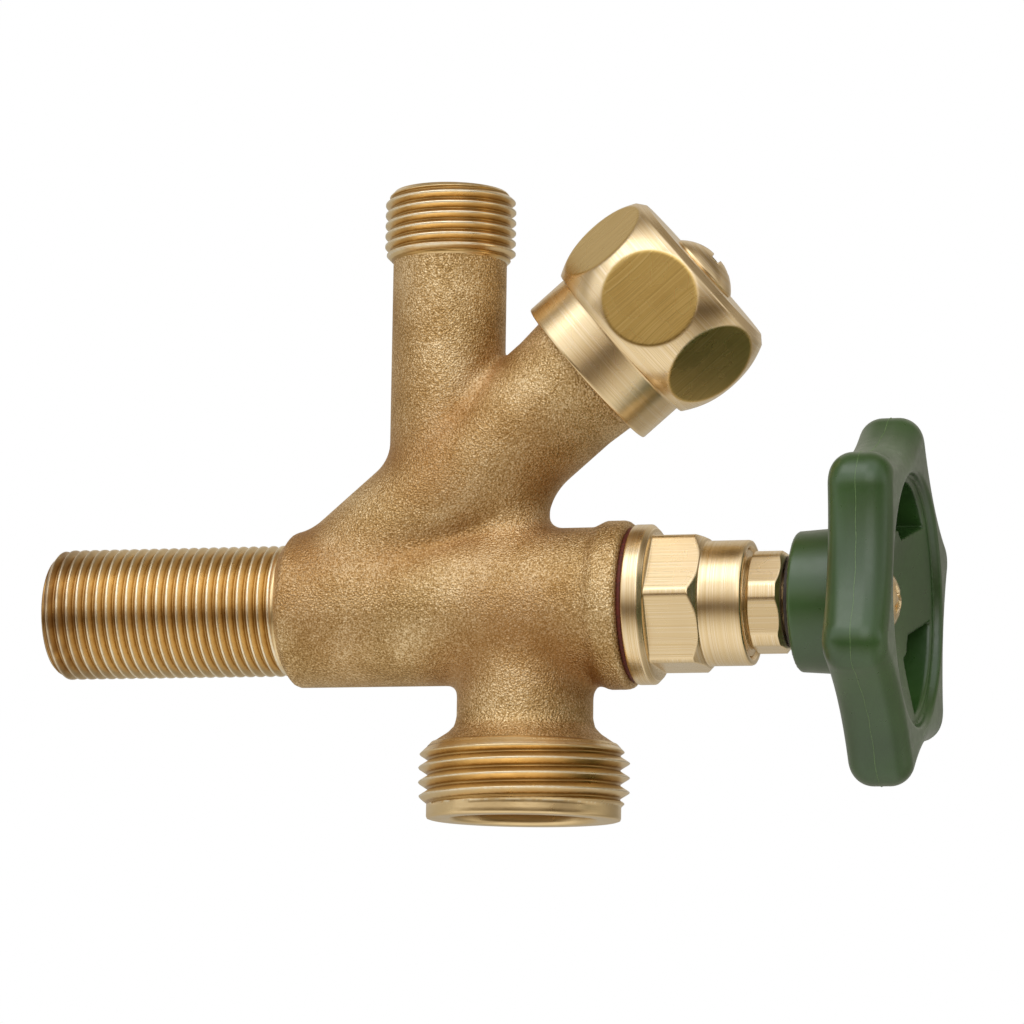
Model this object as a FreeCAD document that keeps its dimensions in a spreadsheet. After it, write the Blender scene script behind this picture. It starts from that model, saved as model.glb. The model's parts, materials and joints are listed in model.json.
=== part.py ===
"""Dishwasher tap: one brass casting with a screw-down tap on its main axis and an oblique stop valve.

Millimetres. The inlet shank's end face is at the origin, the main axis is +X and +Z is up.
Every turned piece is drawn about its own local Z axis and then placed on one of the two valve axes.
"""
import math
import os
import re

import FreeCAD
import Part
import Sketcher

SIZES = {
    # Casting: inlet shank and main tube, measured along the main axis
    "shank_radius": 8.3,
    "shank_length": 31.1,
    "thread_chamfer": 0.9,
    "inlet_bore": 5.0,
    "tube_radius": 9.75,
    "tube_cone": 0.95,
    "collar_radius": 10.5,
    "collar_length": 2.9,
    "collar_cone": 2.2,
    # Casting: oblique branch of the stop valve
    "branch_setback": 3.75,
    "branch_angle": 40.5,
    "branch_radius": 8.4,
    "branch_chamber": 6.5,
    # Casting: mixer outlet at the top
    "mixer_offset": 16.25,
    "mixer_radius": 7.2,
    "mixer_top": 53.1,
    "mixer_rim_step": 1.15,
    "mixer_rim_height": 0.9,
    "mixer_thread_radius": 8.3,
    "mixer_thread_length": 8.1,
    "mixer_bore": 5.1,
    # Casting: appliance outlet at the bottom
    "outlet_offset": 2.45,
    "outlet_radius": 8.5,
    "outlet_bottom": 26.65,
    "outlet_rim_step": 1.05,
    "outlet_rim_height": 1.75,
    "outlet_thread_radius": 13.15,
    "outlet_thread_length": 7.0,
    "outlet_flare": 3.6,
    "outlet_bore": 6.2,
    "outlet_mouth": 9.1,
    "outlet_mouth_depth": 9.5,
    # Casting: web that carries the passage from the stop valve down to the tap
    "passage_offset": 24.45,
    "passage_radius": 5.0,
    "passage_bore": 2.6,
    "cast_fillet": 1.8,
    # Both valves
    "wall": 2.0,
    "running_clearance": 0.05,
    "end_clearance": 0.1,
    "spindle_travel": 4.0,
    "seat_ring_height": 0.9,
    "seat_ring_wall": 1.1,
    "washer_thickness": 2.4,
    "washer_hole": 1.6,
    "washer_nut_flats": 5.5,
    "washer_nut_corner": 3.08,
    "washer_nut_thickness": 2.0,
    "holder_plate": 1.5,
    "holder_boss": 4.3,
    "holder_lip": 1.4,
    "button_radius": 2.6,
    "button_length": 1.5,
    "neck_radius": 1.9,
    "neck_length": 1.9,
    "spindle_thread_radius": 4.7,
    "stem_radius": 4.0,
    "square_flats": 5.6,
    "gasket_thickness": 0.6,
    "packing_washer": 0.8,
    "screw_radius": 2.0,
    "screw_length": 7.0,
    "screw_hole": 7.5,
    "screw_rim": 0.35,
    "shank_radius_slim": 3.4,
    "lead_thread_length": 6.9,
    "thread_margin": 0.5,
    "tip_gap": 0.3,
    "nut_relief": 0.3,
    "edge_break": 0.3,
    "gasket_recess": 0.15,
    "nose_rounding": 0.8,
    # Tap on the main axis
    "tap_seat_offset": 4.25,
    "tap_seat_bore": 3.7,
    "tap_seat_tube": 1.6,
    "tap_joint_offset": 9.5,
    "tap_chamber": 7.1,
    "tap_thread_radius": 7.6,
    "tap_thread_length": 5.2,
    "tap_washer_radius": 5.2,
    "tap_holder_radius": 5.5,
    "tap_holder_chamber": 5.9,
    "tap_guide_start": 1.0,
    "tap_guide_length": 8.5,
    "tap_flange_radius": 9.95,
    "tap_flange": 2.0,
    "tap_hex_flats": 16.0,
    "tap_hex_radius": 9.03,
    "tap_hex_length": 6.5,
    "tap_hex_turn": 2.6,
    "tap_nose_radius": 7.75,
    "tap_nose_length": 5.4,
    "tap_packing_radius": 5.9,
    "tap_packing_length": 2.7,
    "tap_gland_radius": 6.6,
    "tap_gland_flats": 12.0,
    "tap_gland_corner": 6.42,
    "tap_gland_length": 4.3,
    "tap_gland_turn": 5.9,
    # Stop valve on the branch axis, measured from the point where it crosses the main axis
    "stop_seat": 11.0,
    "stop_seat_bore": 4.2,
    "stop_joint_offset": 38.5,
    "stop_thread_radius": 7.0,
    "stop_thread_length": 8.4,
    "stop_washer_radius": 5.4,
    "stop_holder_radius": 5.6,
    "stop_holder_chamber": 5.9,
    "stop_guide_length": 10.0,
    "stop_flange_radius": 8.6,
    "stop_flange": 1.4,
    "stop_hex_flats": 14.0,
    "stop_hex_radius": 8.0,
    "stop_hex_length": 4.0,
    "stop_packing_radius": 5.4,
    "stop_packing_length": 2.0,
    "stop_gland_radius": 5.7,
    "stop_gland_flats": 11.0,
    "stop_gland_corner": 6.2,
    "stop_gland_length": 2.2,
    # Spindle ring and handwheel, measured along the main axis
    "hub_gap": 1.2,
    "ring_gap": 0.25,
    "ring_thickness": 0.7,
    "ring_radius": 5.85,
    "hub_radius": 8.65,
    "hub_root_radius": 9.2,
    "hub_length": 7.0,
    "rim_depth": 8.2,
    "rim_radius": 23.3,
    "rim_hollow": 4.0,
    "lobe_radius": 4.0,
    "rim_rounding": 2.9,
    "recess_radius": 15.2,
    "web_setback": 4.3,
    "web_edge_drop": 0.8,
    "web_thickness": 2.4,
    "window_outer": 14.3,
    "window_inner": 8.6,
    "spoke_width": 12.2,
    "wheel_turn": 111.4,
    "drive_clearance": 0.1,
    "socket_cover": 2.0,
    "screw_hole_clearance": 0.15,
    "wheel_screw_head": 3.65,
    "wheel_screw_height": 1.7,
    # Stop cap
    "skirt_overlap": 4.4,
    "skirt_length": 5.8,
    "skirt_wall": 0.95,
    "cap_clearance": 1.35,
    "cap_cavity_depth": 7.6,
    "cap_ball_rise": 1.4,
    "cap_ball_offset": 6.9,
    "cap_flat_rise": 1.2,
    "cap_turn": 8.0,
    "cap_head_length": 13.8,
    "cap_edge": 0.8,
    "cap_edge_width": 1.04,
    "cap_socket_cover": 1.5,
    "cap_screw_head": 4.65,
    "cap_screw_height": 2.4,
    "recess_width": 1.1,
    "recess_depth": 1.2,
    "recess_arm": 0.5,
}

doc = FreeCAD.newDocument("DishwasherTap")
sheet = doc.addObject("Spreadsheet::Sheet", "Sizes")
for row, (alias, number) in enumerate(SIZES.items(), start=1):
    sheet.set(f"A{row}", alias.replace("_", " "))
    sheet.set(f"B{row}", str(number))
    sheet.setAlias(f"B{row}", alias)
doc.recompute()


def value(expression):
    """The number that an expression of size names gives now."""
    result = sheet.evalExpression(expression)
    return float(getattr(result, "Value", result))


def bound(expression):
    """The same expression as other objects of the document read it."""
    return re.sub(
        r"[a-z][a-z_]*",
        lambda word: f"Sizes.{word[0]}" if word[0] in SIZES else word[0],
        expression,
    )


def bind(item, path, expression):
    item.setExpression(path, bound(expression))


def bind_sketch_number(sketch, constraint, expression):
    index = sketch.addConstraint(constraint)
    bind(sketch, f"Constraints[{index}]", expression)


def origin_plane(body, role):
    return next(feature for feature in body.Origin.OriginFeatures if feature.Role == role)


def new_sketch(body, role, shift_x="0", shift_z="0", turn=None):
    """A sketch on one of the body's own planes, shifted along it and, where asked, turned clockwise in it."""
    sketch = body.newObject("Sketcher::SketchObject", f"{body.Name}_sketch")
    sketch.AttachmentSupport = (origin_plane(body, role), [""])
    sketch.MapMode = "FlatFace"
    if turn:
        clockwise = FreeCAD.Rotation(FreeCAD.Vector(0, 0, -1), value(turn))
        sketch.AttachmentOffset = FreeCAD.Placement(FreeCAD.Vector(), clockwise)
        bind(sketch, "AttachmentOffset.Rotation.Angle", turn)
    bind(sketch, "AttachmentOffset.Base.x", shift_x)
    bind(sketch, "AttachmentOffset.Base.z", shift_z)
    return sketch


def arc_between(first, last, radius, side):
    """An arc from first to last that bulges to the left (side 1) or the right (side -1) of the way there."""
    chord = last - first
    sagitta = radius - math.sqrt(radius ** 2 - chord.Length ** 2 / 4)
    left = FreeCAD.Vector(-chord.y, chord.x, 0).normalize()
    return Part.Arc(first, (first + last) / 2 + left * side * sagitta, last)


def draw(sketch, corners):
    """Closes an outline through the corners.

    A corner is (x, y), or (x, y, radius, side) where an arc leads on to the next corner.
    """
    spots = [FreeCAD.Vector(value(corner[0]), value(corner[1]), 0) for corner in corners]
    ends = []
    for number, corner in enumerate(corners):
        first = spots[number]
        last = spots[(number + 1) % len(corners)]
        if len(corner) == 2:
            index = sketch.addGeometry(Part.LineSegment(first, last))
        else:
            index = sketch.addGeometry(arc_between(first, last, value(corner[2]), corner[3]))
            bind_sketch_number(sketch, Sketcher.Constraint("Radius", index, value(corner[2])), corner[2])
        starts_here = (sketch.getPoint(index, 1) - first).Length < 1e-6
        ends.append((index, 1, 2) if starts_here else (index, 2, 1))
    for number, corner in enumerate(corners):
        index, start, _ = ends[number]
        previous, _, end = ends[number - 1]
        sketch.addConstraint(Sketcher.Constraint("Coincident", previous, end, index, start))
        spot = spots[number]
        bind_sketch_number(sketch, Sketcher.Constraint("DistanceX", -1, 1, index, start, spot.x), corner[0])
        bind_sketch_number(sketch, Sketcher.Constraint("DistanceY", -1, 1, index, start, spot.y), corner[1])


def draw_circle(sketch, radius):
    index = sketch.addGeometry(Part.Circle(FreeCAD.Vector(), FreeCAD.Vector(0, 0, 1), value(radius)))
    sketch.addConstraint(Sketcher.Constraint("Coincident", index, 3, -1, 1))
    bind_sketch_number(sketch, Sketcher.Constraint("Radius", index, value(radius)), radius)


def regular_corners(sides, flats, turn):
    """Corners of a regular polygon of a given width across flats, the first one at the turn angle."""
    corner_radius = f"({flats}) / 2 / cos({180 / sides} deg)"
    angles = [f"(({turn}) + {360 / sides * number}) * 1 deg" for number in range(sides)]
    return [(f"{corner_radius} * cos({angle})", f"{corner_radius} * sin({angle})") for angle in angles]


def new_body(name):
    body = doc.addObject("PartDesign::Body", name)
    body.Label = name
    return body


def finish_feature(body, feature, removes):
    """Makes the feature the body's tip. It has to be built, and a cut has to take something away."""
    before = body.Shape.copy()
    body.Tip = feature
    doc.recompute()
    if feature.Shape.isNull() or "Invalid" in feature.State:
        raise ValueError(f"{feature.Label} isn't built")
    if removes and feature.Shape.Volume >= before.Volume:
        raise ValueError(f"{feature.Label} removes nothing")


def spin(body, kind, corners, axis="V_Axis", **where):
    """Adds (Revolution) or removes (Groove) a full turn of an outline."""
    sketch = new_sketch(body, "XZ_Plane", **where)
    draw(sketch, corners)
    feature = body.newObject(f"PartDesign::{kind}", f"{body.Name}_{kind.lower()}")
    feature.Profile = sketch
    feature.ReferenceAxis = (sketch, [axis])
    feature.Angle = 360
    sketch.Visibility = False
    finish_feature(body, feature, kind == "Groove")


def turned(name, corners):
    body = new_body(name)
    spin(body, "Revolution", corners)
    return body


def sink(body, corners, top, depth, around=None, copies=1):
    """Pockets an outline from top downwards. With around, what lies outside the outline goes instead."""
    sketch = new_sketch(body, "XY_Plane", shift_z=top)
    draw(sketch, corners)
    if around:
        draw_circle(sketch, around)
    pocket = body.newObject("PartDesign::Pocket", f"{body.Name}_pocket")
    pocket.Profile = sketch
    bind(pocket, "Length", depth)
    sketch.Visibility = False
    finish_feature(body, pocket, True)
    if copies > 1:
        pattern = body.newObject("PartDesign::PolarPattern", f"{body.Name}_pattern")
        pattern.Originals = [pocket]
        pattern.Axis = (sketch, ["N_Axis"])
        pattern.Angle = 360
        pattern.Occurrences = copies
        finish_feature(body, pattern, True)


def ring(inner, outer, bottom, top):
    return [(inner, bottom), (outer, bottom), (outer, top), (inner, top)]


def place(body, axis):
    """Turns a piece from its own Z onto the tap's axis (+X) or the stop valve's oblique axis."""
    tilt = {"tap": "90", "stop": "90 - branch_angle"}[axis]
    foot = {"tap": "0", "stop": BRANCH_FOOT}[axis]
    about_y = FreeCAD.Rotation(FreeCAD.Vector(0, 1, 0), value(tilt))
    body.Placement = FreeCAD.Placement(FreeCAD.Vector(value(foot), 0, 0), about_y)
    bind(body, "Placement.Rotation.Angle", tilt)
    bind(body, "Placement.Base.x", foot)


# Where things lie: each place is measured from what carries it
BRANCH_FOOT = "(shank_length + branch_setback)"
MIXER_X = f"({BRANCH_FOOT} + mixer_offset)"
PASSAGE_X = f"({BRANCH_FOOT} + passage_offset)"
OUTLET_X = f"({PASSAGE_X} + outlet_offset)"
MIXER_AXIS_HEIGHT = "(mixer_offset * tan(branch_angle * 1 deg))"
PASSAGE_AXIS_HEIGHT = "(passage_offset * tan(branch_angle * 1 deg))"
MIXER_RIM = "(mixer_thread_radius - mixer_rim_step)"
OUTLET_RIM = "(outlet_thread_radius - outlet_rim_step)"
TAP_SEAT = f"({OUTLET_X} + tap_seat_offset)"
TAP_JOINT = f"({TAP_SEAT} + tap_joint_offset)"
TAP_HEX_START = f"({TAP_JOINT} + tap_flange + 2 * gasket_thickness)"
TAP_BONNET_END = f"({TAP_HEX_START} + tap_hex_length + tap_nose_length)"
TAP_GLAND_END = f"({TAP_BONNET_END} + nut_relief + tap_gland_length)"
HUB_FACE = f"({TAP_GLAND_END} + hub_gap)"
RIM_START = f"({HUB_FACE} + hub_length)"
RIM_END = f"({RIM_START} + rim_depth)"
WEB_FACE = f"({RIM_END} - web_setback)"
SOCKET_END = f"({WEB_FACE} - socket_cover)"
RIM_VALLEY = "(rim_radius - rim_hollow)"
STOP_JOINT = "(stop_seat + stop_joint_offset)"
CAP_CAVITY = "(branch_radius + cap_clearance)"
SKIRT_RADIUS = f"({CAP_CAVITY} + skirt_wall)"
CAP_FLATS = f"(2 * ({SKIRT_RADIUS} + cap_flat_rise))"
CAP_BALL_RADIUS = f"({CAP_FLATS} / 2 + cap_ball_rise)"
SKIRT_START = f"({STOP_JOINT} - skirt_overlap)"
SKIRT_END = f"({SKIRT_START} + skirt_length)"
CAP_CAVITY_END = f"({SKIRT_END} + cap_cavity_depth)"
CAP_BALL_CENTRE = f"({SKIRT_END} + cap_ball_offset)"
CAP_END = f"({SKIRT_END} + cap_head_length)"
CAP_SOCKET_END = f"({CAP_END} - cap_socket_cover)"


def cast_outside(body):
    cone_end = "shank_length + tube_cone"
    collar_start = f"{TAP_JOINT} - collar_length"
    spin(body, "Revolution", [
        ("0", "0"),
        ("0", "shank_radius - thread_chamfer"),
        ("thread_chamfer", "shank_radius"),
        ("shank_length", "shank_radius"),
        (cone_end, "tube_radius"),
        (f"{collar_start} - collar_cone", "tube_radius"),
        (collar_start, "collar_radius"),
        (TAP_JOINT, "collar_radius"),
        (TAP_JOINT, "0"),
    ], axis="H_Axis")
    spin(body, "Revolution", [
        ("0", "0"),
        ("branch_radius", "0"),
        ("branch_radius", STOP_JOINT),
        ("0", STOP_JOINT),
    ], shift_x=BRANCH_FOOT, turn="90 - branch_angle")
    spin(body, "Revolution", [
        ("0", MIXER_AXIS_HEIGHT),
        ("mixer_radius", MIXER_AXIS_HEIGHT),
        ("mixer_radius", "mixer_top - mixer_rim_height - mixer_thread_length"),
        ("0", "mixer_top - mixer_rim_height - mixer_thread_length"),
    ], shift_x=MIXER_X)
    spin(body, "Revolution", [
        ("0", "0"),
        ("outlet_radius", "0"),
        ("outlet_radius", "outlet_rim_height + outlet_thread_length + outlet_flare - outlet_bottom"),
        ("0", "outlet_rim_height + outlet_thread_length + outlet_flare - outlet_bottom"),
    ], shift_x=OUTLET_X)
    spin(body, "Revolution", [
        ("0", "0"),
        ("passage_radius", "0"),
        ("passage_radius", PASSAGE_AXIS_HEIGHT),
        ("0", PASSAGE_AXIS_HEIGHT),
    ], shift_x=PASSAGE_X)


def round_cast_corners(body):
    """Rounds the curves in which the tubes of the casting meet."""
    curves = [
        f"Edge{number}"
        for number, edge in enumerate(body.Shape.Edges, start=1)
        if edge.Curve.TypeId not in ("Part::GeomCircle", "Part::GeomLine")
    ]
    sharp = body.Tip
    fillet = body.newObject("PartDesign::Fillet", "valve_body_fillet")
    fillet.Base = (sharp, curves)
    bind(fillet, "Radius", "cast_fillet")
    finish_feature(body, fillet, False)


def cast_threads(body):
    """Thread blanks at the two vertical ends, with the plain rims beyond them."""
    thread_top = "mixer_top - mixer_rim_height"
    thread_start = f"{thread_top} - mixer_thread_length"
    spin(body, "Revolution", [
        ("0", thread_start),
        ("mixer_radius", thread_start),
        ("mixer_thread_radius", f"{thread_start} + thread_chamfer"),
        ("mixer_thread_radius", f"{thread_top} - thread_chamfer"),
        (MIXER_RIM, thread_top),
        (MIXER_RIM, "mixer_top"),
        ("0", "mixer_top"),
    ], shift_x=MIXER_X)
    rim_top = "outlet_rim_height - outlet_bottom"
    thread_end = f"{rim_top} + outlet_thread_length"
    spin(body, "Revolution", [
        ("0", "-outlet_bottom"),
        (OUTLET_RIM, "-outlet_bottom"),
        (OUTLET_RIM, rim_top),
        ("outlet_thread_radius", f"{rim_top} + thread_chamfer"),
        ("outlet_thread_radius", f"{thread_end} - thread_chamfer"),
        (OUTLET_RIM, thread_end, "outlet_flare", 1),
        ("outlet_radius", f"{thread_end} + outlet_flare"),
        ("0", f"{thread_end} + outlet_flare"),
    ], shift_x=OUTLET_X)


def cast_waterways(body):
    spin(body, "Groove", [
        ("0", "0"),
        ("0", "inlet_bore"),
        (f"{BRANCH_FOOT} + inlet_bore / 2", "inlet_bore"),
        (f"{BRANCH_FOOT} + inlet_bore / 2", "0"),
    ], axis="H_Axis")
    stop_thread_start = f"{STOP_JOINT} - stop_thread_length"
    spin(body, "Groove", [
        ("0", "0"),
        ("stop_seat_bore", "0"),
        ("stop_seat_bore", "stop_seat"),
        ("stop_seat_bore + seat_ring_wall", "stop_seat"),
        ("stop_seat_bore + seat_ring_wall", "stop_seat - seat_ring_height"),
        ("branch_chamber", "stop_seat - seat_ring_height"),
        ("branch_chamber", stop_thread_start),
        ("stop_thread_radius", stop_thread_start),
        ("stop_thread_radius", STOP_JOINT),
        ("0", STOP_JOINT),
    ], shift_x=BRANCH_FOOT, turn="90 - branch_angle")
    spin(body, "Groove", [
        ("0", MIXER_AXIS_HEIGHT),
        ("mixer_bore", MIXER_AXIS_HEIGHT),
        ("mixer_bore", "mixer_top"),
        ("0", "mixer_top"),
    ], shift_x=MIXER_X)
    spin(body, "Groove", [
        ("0", "0"),
        ("passage_bore", "0"),
        ("passage_bore", PASSAGE_AXIS_HEIGHT),
        ("0", PASSAGE_AXIS_HEIGHT),
    ], shift_x=PASSAGE_X)
    tap_thread_start = f"{TAP_JOINT} - tap_thread_length"
    tube_start = f"{TAP_SEAT} - tap_seat_tube"
    spin(body, "Groove", [
        (f"{PASSAGE_X} - passage_bore", "0"),
        (f"{PASSAGE_X} - passage_bore", "tap_seat_bore"),
        (TAP_SEAT, "tap_seat_bore"),
        (TAP_SEAT, "tap_seat_bore + seat_ring_wall"),
        (tube_start, "tap_seat_bore + seat_ring_wall"),
        (tube_start, "tap_chamber"),
        (tap_thread_start, "tap_chamber"),
        (tap_thread_start, "tap_thread_radius"),
        (TAP_JOINT, "tap_thread_radius"),
        (TAP_JOINT, "0"),
    ], axis="H_Axis")
    spin(body, "Groove", [
        ("0", "-outlet_bottom"),
        ("outlet_mouth", "-outlet_bottom"),
        ("outlet_mouth", "outlet_mouth_depth - outlet_bottom"),
        ("outlet_bore", "outlet_mouth_depth + wall - outlet_bottom"),
        ("outlet_bore", "-tap_seat_bore - wall"),
        ("0", "-tap_seat_bore - wall"),
    ], shift_x=OUTLET_X)


casting = new_body("valve_body")
cast_outside(casting)
round_cast_corners(casting)
cast_threads(casting)
cast_waterways(casting)


def make_disc(axis, seat, washer_radius, holder_radius):
    """Seat washer, its nut and the disc holder, whose socket keeps the spindle's button."""
    washer_top = f"{seat} + washer_thickness"
    plate_top = f"{washer_top} + holder_plate"
    cavity_top = f"{plate_top} + button_length + 2 * end_clearance"
    nut_top = f"{seat}"
    nut_bottom = f"{seat} - washer_nut_thickness"

    washer = turned(f"{axis}_seat_washer", ring("washer_hole", washer_radius, seat, washer_top))
    holder = turned(f"{axis}_disc_holder", [
        ("0", nut_bottom),
        ("washer_hole", nut_bottom),
        ("washer_hole", washer_top),
        (holder_radius, washer_top),
        (holder_radius, plate_top),
        ("holder_boss", plate_top),
        ("holder_boss", f"{cavity_top} + holder_lip"),
        ("neck_radius + running_clearance", f"{cavity_top} + holder_lip"),
        ("neck_radius + running_clearance", cavity_top),
        ("button_radius + running_clearance", cavity_top),
        ("button_radius + running_clearance", plate_top),
        ("0", plate_top),
    ])
    nut = turned(f"{axis}_washer_nut", ring("washer_hole", "washer_nut_corner", nut_bottom, nut_top))
    flats = regular_corners(6, "washer_nut_flats", "0")
    sink(nut, flats, nut_top, "washer_nut_thickness", around="washer_nut_flats")
    for body in (washer, holder, nut):
        place(body, axis)


def make_spindle(axis, seat, thread_start, thread_end, shoulder, tip):
    """Button, neck, shank, lead thread blank, stem and the square that drives it."""
    button_start = f"{seat} + washer_thickness + holder_plate + end_clearance"
    neck_start = f"{button_start} + button_length"
    shank_start = f"{neck_start} + neck_length"
    spindle = turned(f"{axis}_spindle", [
        ("0", button_start),
        ("button_radius", button_start),
        ("button_radius", neck_start),
        ("neck_radius", neck_start),
        ("neck_radius", shank_start),
        ("shank_radius_slim", shank_start),
        ("shank_radius_slim", thread_start),
        ("spindle_thread_radius", f"{thread_start} + thread_margin"),
        ("spindle_thread_radius", f"{thread_end} - thread_margin"),
        ("stem_radius", thread_end),
        ("stem_radius", tip),
        ("screw_radius", tip),
        ("screw_radius", f"{tip} - screw_hole"),
        ("0", f"{tip} - screw_hole"),
    ])
    square = regular_corners(4, "square_flats", "45")
    sink(spindle, square, tip, f"({tip}) - ({shoulder})", around="stem_radius + wall")
    place(spindle, axis)


def make_packing(axis, bottom, gland_start, packing_radius):
    washer_top = f"{bottom} + packing_washer"
    stem_bore = "stem_radius + running_clearance"
    washer = turned(f"{axis}_packing_washer", ring(stem_bore, packing_radius, bottom, washer_top))
    packing = turned(f"{axis}_gland_packing", ring(stem_bore, packing_radius, washer_top, gland_start))
    place(washer, axis)
    place(packing, axis)


def make_gland_nut(axis, start, bonnet_end, end, thread_radius, flats, corner, turn):
    """Gland nut: thread blank inside the bonnet, a relief, then the hexagon with turned corners."""
    hex_start = f"{bonnet_end} + nut_relief"
    nut = turned(f"{axis}_gland_nut", [
        ("stem_radius + 2 * running_clearance", start),
        (thread_radius, start),
        (thread_radius, f"{bonnet_end} - nut_relief"),
        (f"({flats}) / 2 - edge_break", f"{bonnet_end} - nut_relief"),
        (f"({flats}) / 2 - edge_break", hex_start),
        (corner, f"{hex_start} + edge_break"),
        (corner, f"({end}) - 2 * edge_break"),
        (f"({flats}) / 2 - edge_break", end),
        ("stem_radius + 2 * running_clearance", end),
    ])
    sink(nut, regular_corners(6, flats, turn), end, f"({end}) - ({hex_start})", around=f"{corner} + wall")
    place(nut, axis)


def make_tap_headwork():
    bottom = f"{TAP_JOINT} - tap_thread_length"
    flange_face = f"{TAP_JOINT} + gasket_thickness"
    flange_end = f"{flange_face} + tap_flange"
    hex_end = f"{TAP_HEX_START} + tap_hex_length"
    guide_start = f"{TAP_JOINT} + tap_guide_start"
    guide_end = f"{guide_start} + tap_guide_length"
    gland_start = f"{guide_end} + packing_washer + tap_packing_length"
    guide_bore = "spindle_thread_radius + running_clearance"
    bonnet = turned("tap_bonnet", [
        ("tap_holder_chamber", bottom),
        ("tap_thread_radius - edge_break", bottom),
        ("tap_thread_radius", f"{bottom} + edge_break"),
        ("tap_thread_radius", flange_face),
        ("tap_flange_radius", flange_face),
        ("tap_flange_radius", flange_end),
        ("tap_flange_radius - gasket_thickness", TAP_HEX_START),
        ("tap_hex_radius", TAP_HEX_START),
        ("tap_hex_radius", f"{hex_end} - wall / 2"),
        ("tap_hex_flats / 2", hex_end),
        ("tap_nose_radius", hex_end),
        ("tap_nose_radius", f"{TAP_BONNET_END} - nose_rounding", "nose_rounding", -1),
        ("tap_nose_radius - nose_rounding", TAP_BONNET_END),
        ("tap_gland_radius", TAP_BONNET_END),
        ("tap_gland_radius", gland_start),
        ("tap_packing_radius", gland_start),
        ("tap_packing_radius", guide_end),
        (guide_bore, guide_end),
        (guide_bore, guide_start),
        ("tap_holder_chamber", guide_start),
    ])
    hexagon = regular_corners(6, "tap_hex_flats", "-90 - tap_hex_turn")
    sink(bonnet, hexagon, hex_end, "tap_hex_length", around="tap_hex_radius + wall")
    gasket = turned("tap_bonnet_gasket", ring(
        "tap_thread_radius", "tap_flange_radius - 2 * gasket_recess", TAP_JOINT, flange_face))
    place(bonnet, "tap")
    place(gasket, "tap")
    make_gland_nut("tap", gland_start, TAP_BONNET_END, TAP_GLAND_END, "tap_gland_radius",
                   "tap_gland_flats", "tap_gland_corner", "-90 - tap_gland_turn")
    make_packing("tap", guide_end, gland_start, "tap_packing_radius")
    make_disc("tap", TAP_SEAT, "tap_washer_radius", "tap_holder_radius")
    thread_end = f"{guide_end} - spindle_travel - thread_margin"
    thread_start = f"{thread_end} - lead_thread_length"
    make_spindle("tap", TAP_SEAT, thread_start, thread_end, HUB_FACE, f"{SOCKET_END} - tip_gap")


def make_stop_headwork():
    bottom = f"{STOP_JOINT} - stop_thread_length"
    flange_face = f"{STOP_JOINT} + gasket_thickness"
    hex_start = f"{flange_face} + stop_flange"
    end = f"{hex_start} + stop_hex_length"
    guide_end = f"{bottom} + stop_guide_length"
    gland_start = f"{guide_end} + packing_washer + stop_packing_length"
    guide_bore = "spindle_thread_radius + running_clearance"
    bonnet = turned("stop_bonnet", [
        (guide_bore, bottom),
        ("stop_thread_radius - edge_break", bottom),
        ("stop_thread_radius", f"{bottom} + edge_break"),
        ("stop_thread_radius", flange_face),
        ("stop_flange_radius", flange_face),
        ("stop_flange_radius", hex_start),
        ("stop_hex_radius", hex_start),
        ("stop_hex_radius", f"{end} - wall / 2"),
        ("stop_hex_flats / 2", end),
        ("stop_gland_radius", end),
        ("stop_gland_radius", gland_start),
        ("stop_packing_radius", gland_start),
        ("stop_packing_radius", guide_end),
        (guide_bore, guide_end),
    ])
    hexagon = regular_corners(6, "stop_hex_flats", "0")
    sink(bonnet, hexagon, end, "stop_hex_length", around="stop_hex_radius + wall")
    gasket = turned("stop_bonnet_gasket", ring(
        "stop_thread_radius", "stop_flange_radius - gasket_recess", STOP_JOINT, flange_face))
    place(bonnet, "stop")
    place(gasket, "stop")
    gland_end = f"{end} + nut_relief + stop_gland_length"
    make_gland_nut("stop", gland_start, end, gland_end, "stop_gland_radius",
                   "stop_gland_flats", "stop_gland_corner", "0")
    make_packing("stop", guide_end, gland_start, "stop_packing_radius")
    make_disc("stop", "stop_seat", "stop_washer_radius", "stop_holder_radius")
    thread_end = f"{guide_end} - spindle_travel - thread_margin"
    thread_start = f"{thread_end} - lead_thread_length"
    make_spindle("stop", "stop_seat", thread_start, thread_end,
                 CAP_CAVITY_END, f"{CAP_SOCKET_END} - tip_gap")


make_tap_headwork()
make_stop_headwork()


def make_screw(name, axis, seat, head_radius, height, turn):
    """Raised-head screw with a cross recess, driven into the spindle's end."""
    dome = f"(({head_radius}) ^ 2 + ({height} - screw_rim) ^ 2) / 2 / ({height} - screw_rim)"
    screw = turned(name, [
        ("0", f"{seat} - screw_length"),
        ("screw_radius", f"{seat} - screw_length"),
        ("screw_radius", seat),
        (head_radius, seat),
        (head_radius, f"{seat} + screw_rim", dome, -1),
        ("0", f"{seat} + {height}"),
    ])
    arm = f"({head_radius}) * recess_arm"
    half = "recess_width / 2"
    cross = [
        (arm, f"-{half}"), (arm, half), (half, half), (half, arm), (f"-{half}", arm), (f"-{half}", half),
        (f"-{arm}", half), (f"-{arm}", f"-{half}"), (f"-{half}", f"-{half}"), (f"-{half}", f"-{arm}"),
        (half, f"-{arm}"), (half, f"-{half}"),
    ]
    sink(screw, cross, f"{seat} + {height}", "recess_depth")
    place(screw, axis)


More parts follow.
